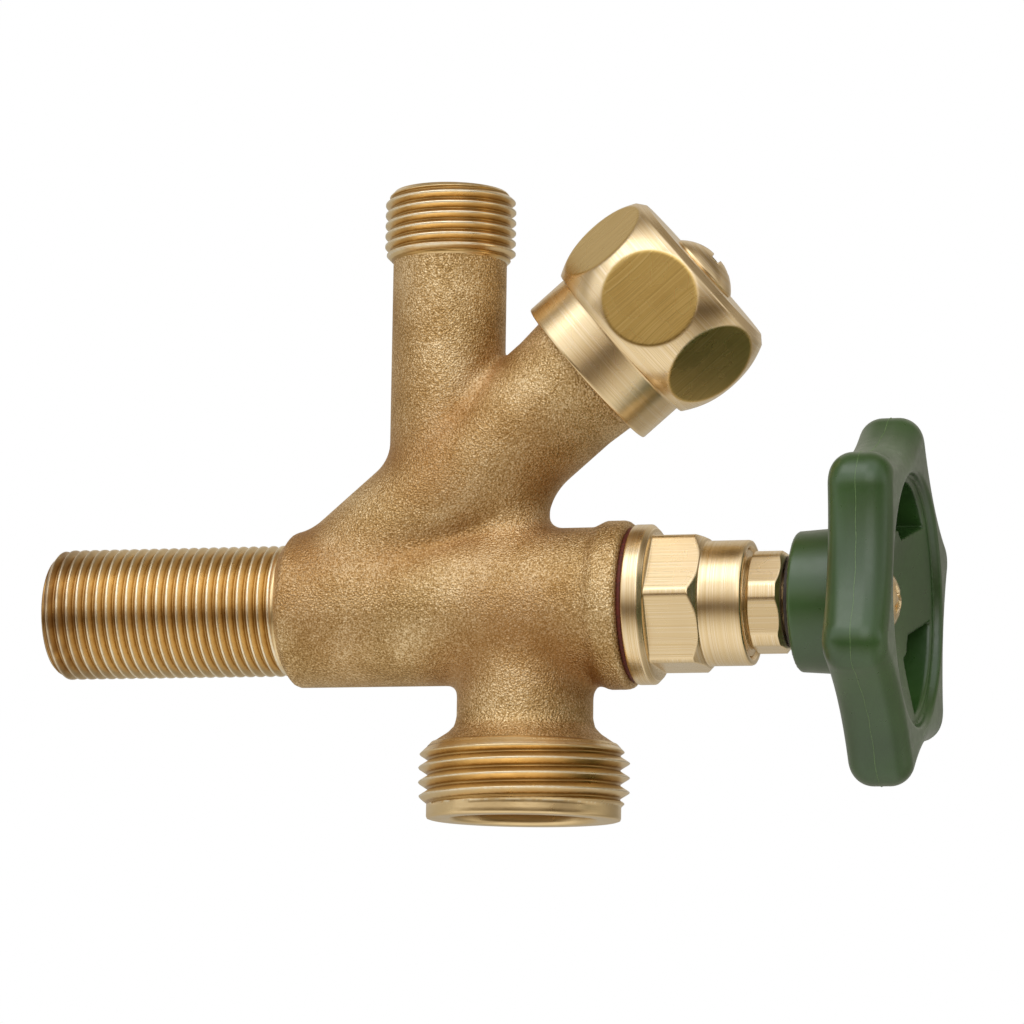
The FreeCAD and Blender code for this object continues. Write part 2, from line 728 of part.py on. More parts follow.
def lobe_spots():
    """Centres and radii of the arcs round the wheel's rim, six lobes and six hollows in turn."""
    lobe_centre = "(rim_radius - lobe_radius)"
    valley_to_lobe = f"{lobe_centre} ^ 2 + {RIM_VALLEY} ^ 2 - 2 * {lobe_centre} * {RIM_VALLEY} * cos(30 deg)"
    hollow = (
        f"(({valley_to_lobe} - lobe_radius ^ 2)"
        f" / 2 / ({lobe_centre} * cos(30 deg) + lobe_radius - {RIM_VALLEY}))"
    )
    arcs = []
    for number in range(6):
        lobe_angle = f"(wheel_turn + {60 * number}) * 1 deg"
        hollow_angle = f"(wheel_turn + {60 * number + 30}) * 1 deg"
        arcs.append((lobe_centre, lobe_angle, "lobe_radius", 1))
        arcs.append((f"({RIM_VALLEY} + {hollow})", hollow_angle, hollow, -1))
    return arcs


def draw_lobes(sketch):
    """Twelve tangent arcs, held by the lobes' centres and by all the radii."""
    arcs = lobe_spots()
    centres = [
        FreeCAD.Vector(value(f"{reach} * cos({angle})"), value(f"{reach} * sin({angle})"), 0)
        for reach, angle, _, _ in arcs
    ]
    joints = []
    for number, (_, _, radius, _) in enumerate(arcs):
        way = (centres[(number + 1) % len(arcs)] - centres[number]).normalize()
        lobe, inward = (centres[number], 1) if number % 2 == 0 else (centres[(number + 1) % len(arcs)], -1)
        joints.append(lobe + way * inward * value("lobe_radius"))
    for number, (reach, angle, radius, side) in enumerate(arcs):
        middle = FreeCAD.Vector(math.cos(math.radians(value(angle))), math.sin(math.radians(value(angle))), 0)
        top = centres[number] + middle * side * value(radius)
        sketch.addGeometry(Part.Arc(joints[number - 1], top, joints[number]))
        bind_sketch_number(sketch, Sketcher.Constraint("Radius", number, value(radius)), radius)
        if number % 2:
            continue
        centre = centres[number]
        for kind, part, spot in (("DistanceX", "cos", centre.x), ("DistanceY", "sin", centre.y)):
            constraint = Sketcher.Constraint(kind, -1, 1, number, 3, spot)
            bind_sketch_number(sketch, constraint, f"{reach} * {part}({angle})")
    for number in range(len(arcs)):
        following = (number + 1) % len(arcs)
        here = 1 if (sketch.getPoint(number, 1) - joints[number]).Length < 1e-4 else 2
        there = 1 if (sketch.getPoint(following, 1) - joints[number]).Length < 1e-4 else 2
        sketch.addConstraint(Sketcher.Constraint("Tangent", number, here, following, there))


def window_corners():
    """One of the three openings between the parallel-sided spokes."""
    middle = "(wheel_turn + 60)"
    corners = []
    for radius, ends, side in (("window_outer", (-1, 1), -1), ("window_inner", (1, -1), 1)):
        reach = f"(60 - asin(spoke_width / 2 / {radius}) / 1 deg)"
        angles = [f"({middle} + {end} * {reach}) * 1 deg" for end in ends]
        first, last = [(f"{radius} * cos({angle})", f"{radius} * sin({angle})") for angle in angles]
        corners += [(*first, radius, side), last]
    return corners


def make_handwheel():
    wheel = new_body("handwheel")
    sketch = new_sketch(wheel, "XY_Plane", shift_z=RIM_START)
    draw_lobes(sketch)
    rim = wheel.newObject("PartDesign::Pad", "handwheel_rim")
    rim.Profile = sketch
    bind(rim, "Length", "rim_depth")
    sketch.Visibility = False
    finish_feature(wheel, rim, False)
    corners = [
        f"Edge{number}"
        for number, edge in enumerate(rim.Shape.Edges, start=1)
        if edge.Curve.TypeId == "Part::GeomCircle"
    ]
    rounding = wheel.newObject("PartDesign::Fillet", "handwheel_rounding")
    rounding.Base = (rim, corners)
    bind(rounding, "Radius", "rim_rounding")
    finish_feature(wheel, rounding, False)
    spin(wheel, "Revolution", [
        ("0", HUB_FACE),
        ("hub_radius - edge_break", HUB_FACE),
        ("hub_radius", f"{HUB_FACE} + edge_break"),
        ("hub_root_radius", f"{WEB_FACE} - web_thickness"),
        ("0", f"{WEB_FACE} - web_thickness"),
    ])
    spin(wheel, "Groove", [
        ("0", WEB_FACE),
        ("wheel_screw_head + wall", WEB_FACE),
        ("recess_radius", f"{WEB_FACE} - web_edge_drop"),
        ("recess_radius + edge_break", RIM_END),
        ("0", RIM_END),
    ])
    web_back = f"{WEB_FACE} - web_edge_drop - web_thickness"
    spin(wheel, "Groove", [
        ("hub_root_radius", RIM_START),
        ("recess_radius", RIM_START),
        ("recess_radius", web_back),
        ("hub_root_radius", web_back),
    ])
    sink(wheel, window_corners(), WEB_FACE, f"{WEB_FACE} - {RIM_START}", copies=3)
    square = regular_corners(4, "square_flats + drive_clearance", "45")
    sink(wheel, square, SOCKET_END, f"{SOCKET_END} - {HUB_FACE}")
    spin(wheel, "Groove", ring("0", "screw_radius + screw_hole_clearance", HUB_FACE, WEB_FACE))
    place(wheel, "tap")


def make_stop_cap():
    """Cap with a skirt and a ball-turned head: six flats across the ball leave round facets."""
    ball_end = f"{CAP_END} - cap_edge"
    ball_start_radius = f"sqrt({CAP_BALL_RADIUS} ^ 2 - ({CAP_BALL_CENTRE} - {SKIRT_END}) ^ 2)"
    ball_end_radius = f"sqrt({CAP_BALL_RADIUS} ^ 2 - ({ball_end} - {CAP_BALL_CENTRE}) ^ 2)"
    cap = turned("stop_cap", [
        (CAP_CAVITY, SKIRT_START),
        (f"{SKIRT_RADIUS} - edge_break", SKIRT_START),
        (SKIRT_RADIUS, f"{SKIRT_START} + edge_break"),
        (SKIRT_RADIUS, SKIRT_END),
        (ball_start_radius, SKIRT_END, CAP_BALL_RADIUS, -1),
        (ball_end_radius, ball_end),
        (f"{ball_end_radius} - cap_edge_width", CAP_END),
        ("screw_radius + screw_hole_clearance", CAP_END),
        ("screw_radius + screw_hole_clearance", CAP_CAVITY_END),
        (CAP_CAVITY, CAP_CAVITY_END),
    ])
    hexagon = regular_corners(6, CAP_FLATS, "-90 + cap_turn + 30")
    sink(cap, hexagon, CAP_END, f"{CAP_END} - {SKIRT_END}", around=f"{CAP_BALL_RADIUS} + wall")
    square = regular_corners(4, "square_flats + drive_clearance", "45")
    sink(cap, square, CAP_SOCKET_END, f"{CAP_SOCKET_END} - {CAP_CAVITY_END}")
    place(cap, "stop")


def make_spindle_ring():
    top = f"{HUB_FACE} - ring_gap"
    place(turned("spindle_ring", ring("stem_radius", "ring_radius", f"{top} - ring_thickness", top)), "tap")


make_spindle_ring()
make_handwheel()
make_screw("handwheel_screw", "tap", WEB_FACE, "wheel_screw_head", "wheel_screw_height", "0")
make_stop_cap()
make_screw("stop_cap_screw", "stop", CAP_END, "cap_screw_head", "cap_screw_height", "0")
doc.recompute()


broken = [item.Label for item in doc.Objects if "Invalid" in item.State or "Error" in item.State]
if broken:
    raise ValueError(f"not built: {', '.join(broken)}")
pieces = [item for item in doc.Objects if item.TypeId == "PartDesign::Body"]
for piece in pieces:
    if piece.Shape.isNull() or not piece.Shape.isValid() or len(piece.Shape.Solids) != 1:
        raise ValueError(f"{piece.Label} is not one valid solid")
os.makedirs("parts", exist_ok=True)
for piece in pieces:
    piece.Shape.exportStep(f"parts/{piece.Label}.step")
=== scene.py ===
"""Looks of the dishwasher tap: sand-cast body, cut threads, turned and milled brass, moulded handwheel.

Shapes are drawn in millimetres about their own axis, stood on one of the valve's axes and stored in metres.
"""
import json
import math

import bmesh
import bpy
import numpy as np
from mathutils import Matrix, Vector


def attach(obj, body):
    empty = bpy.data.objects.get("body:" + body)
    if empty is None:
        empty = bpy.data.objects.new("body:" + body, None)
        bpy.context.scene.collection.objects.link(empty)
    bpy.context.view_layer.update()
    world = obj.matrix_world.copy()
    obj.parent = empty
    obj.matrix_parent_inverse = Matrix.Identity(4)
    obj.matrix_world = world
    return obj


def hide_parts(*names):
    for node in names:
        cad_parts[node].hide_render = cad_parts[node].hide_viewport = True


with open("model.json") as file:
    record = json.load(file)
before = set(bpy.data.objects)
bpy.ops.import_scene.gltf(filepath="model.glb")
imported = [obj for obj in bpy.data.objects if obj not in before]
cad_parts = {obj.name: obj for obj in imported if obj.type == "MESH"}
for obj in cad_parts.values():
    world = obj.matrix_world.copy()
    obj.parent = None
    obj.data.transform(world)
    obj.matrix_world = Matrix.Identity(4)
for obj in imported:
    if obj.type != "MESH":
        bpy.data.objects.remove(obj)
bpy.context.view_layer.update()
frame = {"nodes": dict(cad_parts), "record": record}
NODES = frame["nodes"]
MM = 0.001

# Places and sizes of the solids, in millimetres
SHANK_END = 31.1
BRANCH_FOOT = 34.85
BRANCH_ANGLE = math.radians(40.5)
MIXER_X = 51.1
PASSAGE_X = 59.3
OUTLET_X = 61.75
TAP_JOINT = 75.5
HUB_FACE = 96.4
WHEEL_TURN = math.radians(111.4)
BONNET_TURN = math.radians(-92.6)
GLAND_NUT_TURN = math.radians(-95.9)
CAP_TURN = math.radians(-52)

# Pipe threads by their nominal bore. Crest Flat is the share of each half pitch left flat at the crest
THREAD_3_8 = {"Crest Radius": 8.3, "Depth": 0.856, "Pitch": 1.337, "Crest Flat": 0.16}
THREAD_3_4 = {"Crest Radius": 13.15, "Depth": 1.162, "Pitch": 1.814, "Crest Flat": 0.06}

# The valve's axes: each piece is drawn about its own Z and stood on one of these
AXES = {
    "main": Matrix.Rotation(math.pi / 2, 4, "Y"),
    "branch": Matrix.Translation((BRANCH_FOOT, 0, 0)) @ Matrix.Rotation(math.pi / 2 - BRANCH_ANGLE, 4, "Y"),
    "mixer": Matrix.Translation((MIXER_X, 0, 0)),
    "passage": Matrix.Translation((PASSAGE_X, 0, 0)),
    "outlet": Matrix.Translation((OUTLET_X, 0, 0)) @ Matrix.Rotation(math.pi, 4, "X"),
}


# Materials

def linear(code):
    """A hex colour as the linear numbers that a shader takes."""
    parts = [int(code[i:i + 2], 16) / 255 for i in (1, 3, 5)]
    return [p / 12.92 if p <= 0.04045 else ((p + 0.055) / 1.055) ** 2.4 for p in parts] + [1.0]


def add(tree, kind, inputs=None, **settings):
    """Adds a node, sets its properties, and gives its inputs numbers or links."""
    node = tree.nodes.new(kind)
    for name, value in settings.items():
        setattr(node, name, value)
    for name, value in (inputs or {}).items():
        if isinstance(value, bpy.types.Node):
            value = value.outputs[0]
        if isinstance(value, bpy.types.NodeSocket):
            tree.links.new(value, node.inputs[name])
        else:
            node.inputs[name].default_value = value
    return node


def per_mm(count):
    """A pattern's scale from how many of its grains or lines lie in a millimetre."""
    return count / MM


def new_material(name, **values):
    """A material with its surface shader, whose constant values are set straight on its sockets."""
    material = bpy.data.materials.new(name)
    material.use_nodes = True
    tree = material.node_tree
    shader = tree.nodes["Principled BSDF"]
    for socket, value in values.items():
        shader.inputs[socket.replace("_", " ")].default_value = value
    place = add(tree, "ShaderNodeTexCoord").outputs["Object"]
    return material, tree, shader, place


def colour_steps(tree, factor, steps):
    """A colour ramp through (position, hex) steps."""
    ramp = add(tree, "ShaderNodeValToRGB", {"Fac": factor})
    elements = ramp.color_ramp.elements
    while len(elements) < len(steps):
        elements.new(0.5)
    for element, (position, code) in zip(elements, steps):
        element.position = position
        element.color = linear(code)
    return ramp.outputs["Color"]


def cast_brass():
    """Sand-cast brass, shot-blasted: matt, with a sparkling grain of a quarter millimetre, and with painted
    shade, a browner colour in patches, in the rounded hollows where the limbs join.
    """
    material, tree, shader, place = new_material("cast_brass_shot_blasted", Metallic=1.0)
    painted_shade_hollow = add(tree, "ShaderNodeAttribute", attribute_name="painted_shade_hollow").outputs["Fac"]
    grain = add(tree, "ShaderNodeTexNoise", {"Vector": place, "Scale": per_mm(4.4), "Detail": 2.0,
                                               "Roughness": 0.6})
    pits = add(tree, "ShaderNodeTexVoronoi", {"Vector": place, "Scale": per_mm(4.2)})
    cloud = add(tree, "ShaderNodeTexNoise", {"Vector": place, "Scale": per_mm(0.16), "Detail": 3.0})
    shade_patches = add(tree, "ShaderNodeTexNoise", {"Vector": place, "Scale": per_mm(0.09), "Detail": 1.0})
    tone = add(tree, "ShaderNodeMath", {0: grain.outputs["Fac"], 1: 0.7}, operation="MULTIPLY")
    tone = add(tree, "ShaderNodeMath", {0: cloud.outputs["Fac"], 1: 0.3, 2: tone}, operation="MULTIPLY_ADD")
    base = colour_steps(tree, tone, [(0.36, "#a07d49"), (0.5, "#cfad78"), (0.62, "#fbe3b8")])
    # Painted shade: the rounded hollows where the limbs join are browned in patches, as if they lay in shadow
    shade_amount = add(tree, "ShaderNodeMath", {0: painted_shade_hollow, 1: shade_patches.outputs["Fac"]}, operation="MULTIPLY")
    shade_amount = add(tree, "ShaderNodeMath", {0: shade_amount, 1: 1.0}, operation="MULTIPLY", use_clamp=True)
    base = add(tree, "ShaderNodeMix", {"Factor": shade_amount, "A": base, "B": linear("#b07c46")},
               data_type="RGBA").outputs[2]
    rough = add(tree, "ShaderNodeMapRange", {"Value": pits.outputs["Color"], "To Min": 0.36, "To Max": 0.62})
    height = add(tree, "ShaderNodeMath", {0: pits.outputs["Distance"], 1: grain.outputs["Fac"]},
                 operation="ADD")
    bump = add(tree, "ShaderNodeBump", {"Height": height, "Strength": 0.75, "Distance": 0.00012})
    tree.links.new(base, shader.inputs["Base Color"])
    tree.links.new(rough.outputs[0], shader.inputs["Roughness"])
    tree.links.new(bump.outputs[0], shader.inputs["Normal"])
    return material


def machined_brass():
    """Free-cutting brass, turned and milled: bright, with tool lines of a tenth of a millimetre round it
    and along its flats, which read the millimetres that the lathe pieces carry."""
    material, tree, shader, place = new_material("free_cutting_brass_machined", Metallic=1.0)
    along = add(tree, "ShaderNodeAttribute", attribute_name="along").outputs["Fac"]
    lateral = add(tree, "ShaderNodeAttribute", attribute_name="lateral").outputs["Fac"]
    milled = add(tree, "ShaderNodeAttribute", attribute_name="milled").outputs["Fac"]
    across = add(tree, "ShaderNodeMix", {"Factor": milled, "A": along, "B": lateral}).outputs[0]
    fine = add(tree, "ShaderNodeTexNoise", {"W": across, "Scale": 9.0, "Detail": 2.0},
               noise_dimensions="1D")
    coarse = add(tree, "ShaderNodeTexNoise", {"W": across, "Scale": 2.2, "Detail": 1.0},
                 noise_dimensions="1D")
    smudge = add(tree, "ShaderNodeTexNoise", {"Vector": place, "Scale": per_mm(0.26), "Detail": 2.0})
    lines = add(tree, "ShaderNodeMath", {0: coarse.outputs["Fac"], 1: 0.5, 2: fine.outputs["Fac"]},
                operation="MULTIPLY_ADD")
    bright = colour_steps(tree, lines, [(0.45, "#e4c898"), (0.75, "#f2daae"), (1.0, "#fae8cc")])
    # The darker ramp is painted shade: milled flats are darkened as if they reflected darker surroundings
    painted_flat_shade = colour_steps(tree, lines, [(0.45, "#c4a45e"), (0.75, "#dcbc74"), (1.0, "#ead090")])
    cap_flat_shade = add(tree, "ShaderNodeAttribute", attribute_name="painted_flat_shade").outputs["Fac"]
    base = add(tree, "ShaderNodeMix", {"Factor": cap_flat_shade, "A": bright, "B": painted_flat_shade},
               data_type="RGBA").outputs[2]
    rough = add(tree, "ShaderNodeMapRange", {"Value": smudge.outputs["Fac"], "To Min": 0.2, "To Max": 0.34})
    bump = add(tree, "ShaderNodeBump", {"Height": lines, "Strength": 0.3, "Distance": 0.00002})
    tree.links.new(base, shader.inputs["Base Color"])
    tree.links.new(rough.outputs[0], shader.inputs["Roughness"])
    tree.links.new(bump.outputs[0], shader.inputs["Normal"])
    return material


def thread_brass():
    """Die-cut thread: crests painted near white as a highlight, roots painted browner as shade in the
    grooves, and oxide that thickens towards the shank's end.
    """
    material, tree, shader, place = new_material("die_cut_brass_thread", Metallic=1.0)
    groove = add(tree, "ShaderNodeAttribute", attribute_name="groove").outputs["Fac"]
    oxide = add(tree, "ShaderNodeAttribute", attribute_name="oxide").outputs["Fac"]
    blotch = add(tree, "ShaderNodeTexNoise", {"Vector": place, "Scale": per_mm(0.42), "Detail": 3.0})
    marks = add(tree, "ShaderNodeTexNoise", {"Vector": place, "Scale": per_mm(1.9), "Detail": 2.0})
    depth = add(tree, "ShaderNodeMath", {0: marks.outputs["Fac"], 1: 0.3, 2: groove},
                operation="MULTIPLY_ADD")
    # Painted highlight and shade: near white on the crests, browner down in the roots
    base = colour_steps(tree, depth, [(0.12, "#fff4dc"), (0.3, "#f4dcae"), (0.8, "#efd29c"),
                                      (1.1, "#c09c62")])
    cover = add(tree, "ShaderNodeMath", {0: blotch.outputs["Fac"], 1: oxide}, operation="MULTIPLY")
    cover = add(tree, "ShaderNodeMath", {0: cover, 1: 1.2}, operation="MULTIPLY", use_clamp=True)
    base = add(tree, "ShaderNodeMix", {"Factor": cover, "A": base, "B": linear("#94704a")},
               data_type="RGBA").outputs[2]
    rough = add(tree, "ShaderNodeMapRange", {"Value": blotch.outputs["Fac"], "To Min": 0.2, "To Max": 0.42})
    bump = add(tree, "ShaderNodeBump", {"Height": marks.outputs["Fac"], "Strength": 0.25,
                                        "Distance": 0.00004})
    tree.links.new(base, shader.inputs["Base Color"])
    tree.links.new(rough.outputs[0], shader.inputs["Roughness"])
    tree.links.new(bump.outputs[0], shader.inputs["Normal"])
    return material


def wheel_plastic():
    """Moulded nylon, green through and through: semi-gloss with faint flow marks and fine scuffs."""
    material, tree, shader, place = new_material("moulded_green_nylon", IOR=1.53, Specular_IOR_Level=0.75)
    flow = add(tree, "ShaderNodeTexNoise", {"Vector": place, "Scale": per_mm(0.07), "Detail": 2.0})
    scuff = add(tree, "ShaderNodeTexNoise", {"Vector": place, "Scale": per_mm(0.9), "Detail": 3.0})
    base = colour_steps(tree, flow.outputs["Fac"], [(0.3, "#28471d"), (0.7, "#365a28")])
    rough = add(tree, "ShaderNodeMapRange", {"Value": scuff.outputs["Fac"], "To Min": 0.22, "To Max": 0.4})
    bump = add(tree, "ShaderNodeBump", {"Height": scuff.outputs["Fac"], "Strength": 0.12,
                                        "Distance": 0.00003})
    tree.links.new(base, shader.inputs["Base Color"])
    tree.links.new(rough.outputs[0], shader.inputs["Roughness"])
    tree.links.new(bump.outputs[0], shader.inputs["Normal"])
    return material


def plain_finish(name, low, high, grain_mm, **values):
    """A small or hidden piece's finish: two tones and a fine grain of the given size."""
    material, tree, shader, place = new_material(name, **values)
    grain = add(tree, "ShaderNodeTexNoise", {"Vector": place, "Scale": per_mm(1 / grain_mm), "Detail": 2.0})
    base = colour_steps(tree, grain.outputs["Fac"], [(0.35, low), (0.65, high)])
    bump = add(tree, "ShaderNodeBump", {"Height": grain.outputs["Fac"], "Strength": 0.3, "Distance": 0.00005})
    tree.links.new(base, shader.inputs["Base Color"])
    tree.links.new(bump.outputs[0], shader.inputs["Normal"])
    return material


CAST = cast_brass()
MACHINED = machined_brass()
THREAD = thread_brass()
GREEN = wheel_plastic()
# Nylon squeezed thin between the mould's halves, so it looks paler than the wheel
FLASH = plain_finish("green_nylon_flash", "#5d7f4a", "#7d9c62", 0.3, Roughness=0.4, IOR=1.53)
# Vulcanised fibre, pressed and dyed red-brown: matt, slightly fibrous
FIBRE = plain_finish("vulcanised_fibre", "#4a160c", "#6b2415", 0.3, Roughness=0.6)
# Nitrile rubber, moulded: nearly black-brown and matt
RUBBER = plain_finish("nitrile_rubber", "#2a211d", "#3d322c", 0.25, Roughness=0.55)
# Pressed PTFE packing rings: off-white and waxy
PACKING = plain_finish("ptfe_packing", "#cfcabd", "#e2ded2", 0.4, Roughness=0.45, IOR=1.38)
# Turned brass of the pieces inside, which nobody polishes
INNER = plain_finish("free_cutting_brass_turned", "#c79d5c", "#e3c083", 0.2, Roughness=0.3, Metallic=1.0)


# Meshes

def make_piece(name, points, faces, axis, material, marks=None):
    """A smooth-shaded piece from points in millimetres about its own Z, stood on the named axis."""
    turn = np.array(AXES[axis]) if axis else np.eye(4)
    placed = (np.asarray(points) @ turn[:3, :3].T + turn[:3, 3]) * MM
    mesh = bpy.data.meshes.new(name)
    mesh.from_pydata(placed.tolist(), [], faces)
    for mark, values in (marks or {}).items():
        mesh.attributes.new(mark, "FLOAT", "POINT").data.foreach_set("value", np.asarray(values, np.float32))
    mesh.materials.append(material)
    seal(mesh)
    piece = bpy.data.objects.new(name, mesh)
    bpy.context.scene.collection.objects.link(piece)
    return piece


def seal(mesh):
    """Welds seams and poles, turns the faces outwards and shades them smooth."""
    work = bmesh.new()
    work.from_mesh(mesh)
    bmesh.ops.remove_doubles(work, verts=work.verts, dist=1e-7)
    bmesh.ops.recalc_face_normals(work, faces=work.faces)
    work.to_mesh(mesh)
    work.free()
    mesh.shade_smooth()


def stands(piece, body, slot, *nodes):
    """Makes a finished piece ride on its body in place of the nodes it redraws. Its slot is not used."""
    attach(piece, body)
    if nodes:
        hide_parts(*nodes)


# A turned corner with no rounding of its own is broken by this many millimetres
BROKEN_EDGE = 0.12
NEARLY_STRAIGHT = 3.0


def outline_points(corners, step, fine=None):
    """A closed outline of (reach, along[, rounding]) corners, its corners rounded and its runs divided.
    fine = (reach, step) divides the runs beyond a reach more finely."""
    spots = [np.array(corner[:2], float) for corner in corners]
    rounded = []
    for number, here in enumerate(spots):
        before, after = spots[number - 1], spots[(number + 1) % len(spots)]
        back, on = before - here, after - here
        rounding = corners[number][2] if len(corners[number]) > 2 else BROKEN_EDGE
        back_length, on_length = np.linalg.norm(back), np.linalg.norm(on)
        angle = math.acos(np.clip(back @ on / back_length / on_length, -1, 1))
        if here[0] == 0 or rounding == 0 or angle > NEARLY_STRAIGHT:
            rounded.append(here)
            continue
        reach = min(rounding / math.tan(angle / 2), 0.45 * back_length, 0.45 * on_length)
        start, end = here + back / back_length * reach, here + on / on_length * reach
        pieces = max(3, int(rounding / step) + 2)
        rounded += [
            (1 - t) ** 2 * start + 2 * t * (1 - t) * here + t * t * end
            for t in np.linspace(0, 1, pieces)
        ]
    points = []
    for number, here in enumerate(rounded):
        after = rounded[(number + 1) % len(rounded)]
        if here[0] == 0 and after[0] == 0:
            points.append(here)
            continue
        run = fine[1] if fine and min(here[0], after[0]) >= fine[0] else step
        parts = max(1, math.ceil(np.linalg.norm(after - here) / run))
        points += [here + (after - here) * part / parts for part in range(parts)]
    return np.array(points)


def arc(centre, radius, first, last, parts):
    """Corners along a ball's outline between two places on its axis."""
    return [
        (math.sqrt(radius ** 2 - (spot - centre) ** 2), spot, 0)
        for spot in np.linspace(first, last, parts)
    ]


# Edges between flats and turned faces are rounded over EDGE_SOFT, and the tool lines change over EDGE_LINE
EDGE_SOFT = 0.14
EDGE_LINE = 0.06


def turned(name, axis, corners, columns=192, step=0.5, fine=None, flats=None, sink=None, material=None,
           painted_flat_shade=0.0):
    """A lathe piece. flats = (across, first corner's angle, from, to, widest) mills a hexagon on part of it;
    sink = (from, depth(x, y)) presses a tool into its end beyond a height."""
    outline = outline_points(corners, step, fine)
    angles = np.arange(columns) * 2 * np.pi / columns
    reach = np.repeat(outline[:, :1], columns, axis=1)
    along = np.repeat(outline[:, 1:], columns, axis=1)
    milled = np.zeros_like(reach)
    lateral = angles * np.max(outline[:, 0]) + 0 * reach
    if flats:
        across, turn, first, last, widest = flats
        off = np.mod(angles - turn, np.pi / 3) - np.pi / 6
        flat = across / 2 / np.cos(off) + 0 * reach
        held = (along >= first - 1e-6) & (along <= last + 1e-6) & (reach <= widest + 1e-6)
        cut, _ = blend(reach, flat, EDGE_SOFT)
        milled = np.where(held, np.clip((reach - flat) / EDGE_LINE + 0.5, 0, 1), 0)
        lateral = np.where(held, reach * np.sin(off), lateral)
        reach = np.where(held, cut, reach)
    x, y = reach * np.cos(angles), reach * np.sin(angles)
    if sink:
        lowest, depth = sink
        along = np.where(along > lowest, along - depth(x, y), along)
    rows = len(outline)
    number = np.arange(rows * columns).reshape(rows, columns)
    closed = corners[0][0] > 0
    lower = number if closed else number[:-1]
    upper = np.roll(number, -1, axis=0) if closed else number[1:]
    # The last mark tells which milled flats take the darker ramp of painted shade
    marks = {"along": along.ravel(), "lateral": lateral.ravel(), "milled": milled.ravel(),
             "painted_flat_shade": painted_flat_shade * milled.ravel()}
    points = np.stack([x, y, along], -1).reshape(-1, 3)
    return make_piece(name, points, band_faces(lower, upper), axis, material or MACHINED, marks)


def band_faces(lower, upper):
    """Faces of a closed band between rows of numbered points."""
    return np.stack([lower, np.roll(lower, -1, 1), np.roll(upper, -1, 1), upper], -1).reshape(-1, 4).tolist()


def blend(first, second, soft):
    """Union of two distances with a hollow rounded over a soft width, and how much of it is rounding."""
    mix = np.clip(1 - np.abs(first - second) / soft, 0, 1)
    return np.minimum(first, second) - mix * mix * soft / 4, mix


def outline_distance(outline, reach, along):
    """Distance from a closed outline in the half-plane of a lathe piece, negative inside it."""
    nearest = np.full(reach.shape, 1e6, np.float32)
    inside = np.zeros(reach.shape, bool)
    for (r0, a0), (r1, a1) in zip(outline, np.roll(outline, -1, axis=0)):
        run, rise = r1 - r0, a1 - a0
        if r0 or r1:
            share = np.clip(((reach - r0) * run + (along - a0) * rise) / (run * run + rise * rise), 0, 1)
            nearest = np.minimum(nearest, np.hypot(reach - r0 - share * run, along - a0 - share * rise))
        if rise:
            crossed = (a0 > along) != (a1 > along)
            inside ^= crossed & (reach < r0 + (along - a0) * run / rise)
    return np.where(inside, -nearest, nearest)


def skin(distance, low, high, cell):
    """Points and faces of the surface where a distance is zero, one point in each cell that it crosses."""
    low = np.array(low, float)
    counts = np.ceil((np.array(high) - low) / cell).astype(int) + 1
    grid = np.stack(np.meshgrid(*[low[k] + cell * np.arange(counts[k]) for k in range(3)], indexing="ij"), -1)
    field = distance(grid.reshape(-1, 3)).reshape(counts)
    cells = counts - 1
    total = np.zeros((*cells, 3), np.float32)
    hits = np.zeros(cells, np.int32)
    crossings = []
    for k in range(3):
        first = np.take(field, range(0, cells[k]), axis=k)
        last = np.take(field, range(1, counts[k]), axis=k)
        cross = (first < 0) != (last < 0)
        share = np.where(cross, first / np.where(cross, first - last, 1), 0)
        crossings.append((cross, first < 0))
        u, v = [m for m in range(3) if m != k]
        for du in (0, 1):
            for dv in (0, 1):
                cut = [slice(None)] * 3
                cut[u], cut[v] = slice(du, cells[u] + du), slice(dv, cells[v] + dv)
                hit = cross[tuple(cut)]
                hits += hit
                total[..., k] += share[tuple(cut)]
                total[..., u] += du * hit
                total[..., v] += dv * hit
    active = hits > 0
    number = np.full(cells, -1)
    number[active] = np.arange(active.sum())
    points = low + cell * (np.argwhere(active) + total[active] / hits[active][:, None])
    faces = []
    for k, (cross, leaving) in enumerate(crossings):
        u, v = [m for m in range(3) if m != k]
        spots = np.argwhere(cross)
        inside = (spots[:, [u, v]] > 0).all(1) & (spots[:, [u, v]] < cells[[u, v]]).all(1)
        spots = spots[inside]
        ring = []
        for du, dv in ((1, 1), (0, 1), (0, 0), (1, 0)):
            near = spots.copy()
            near[:, u] -= du
            near[:, v] -= dv
            ring.append(number[tuple(near.T)])
        faces.append(np.stack(ring, -1))
    # Each point then slides down the slope on to the surface itself
    probe = 0.02
    for _ in range(4):
        here = distance(points)
        slope = np.stack([
            (distance(points + nudge) - distance(points - nudge)) / (2 * probe)
            for nudge in np.eye(3) * probe
        ], -1)
        step = here / np.maximum((slope ** 2).sum(1), 0.3)
        points = points - np.clip(step, -cell / 2, cell / 2)[:, None] * slope
    return points, np.concatenate(faces).tolist()


# Sand-cast body

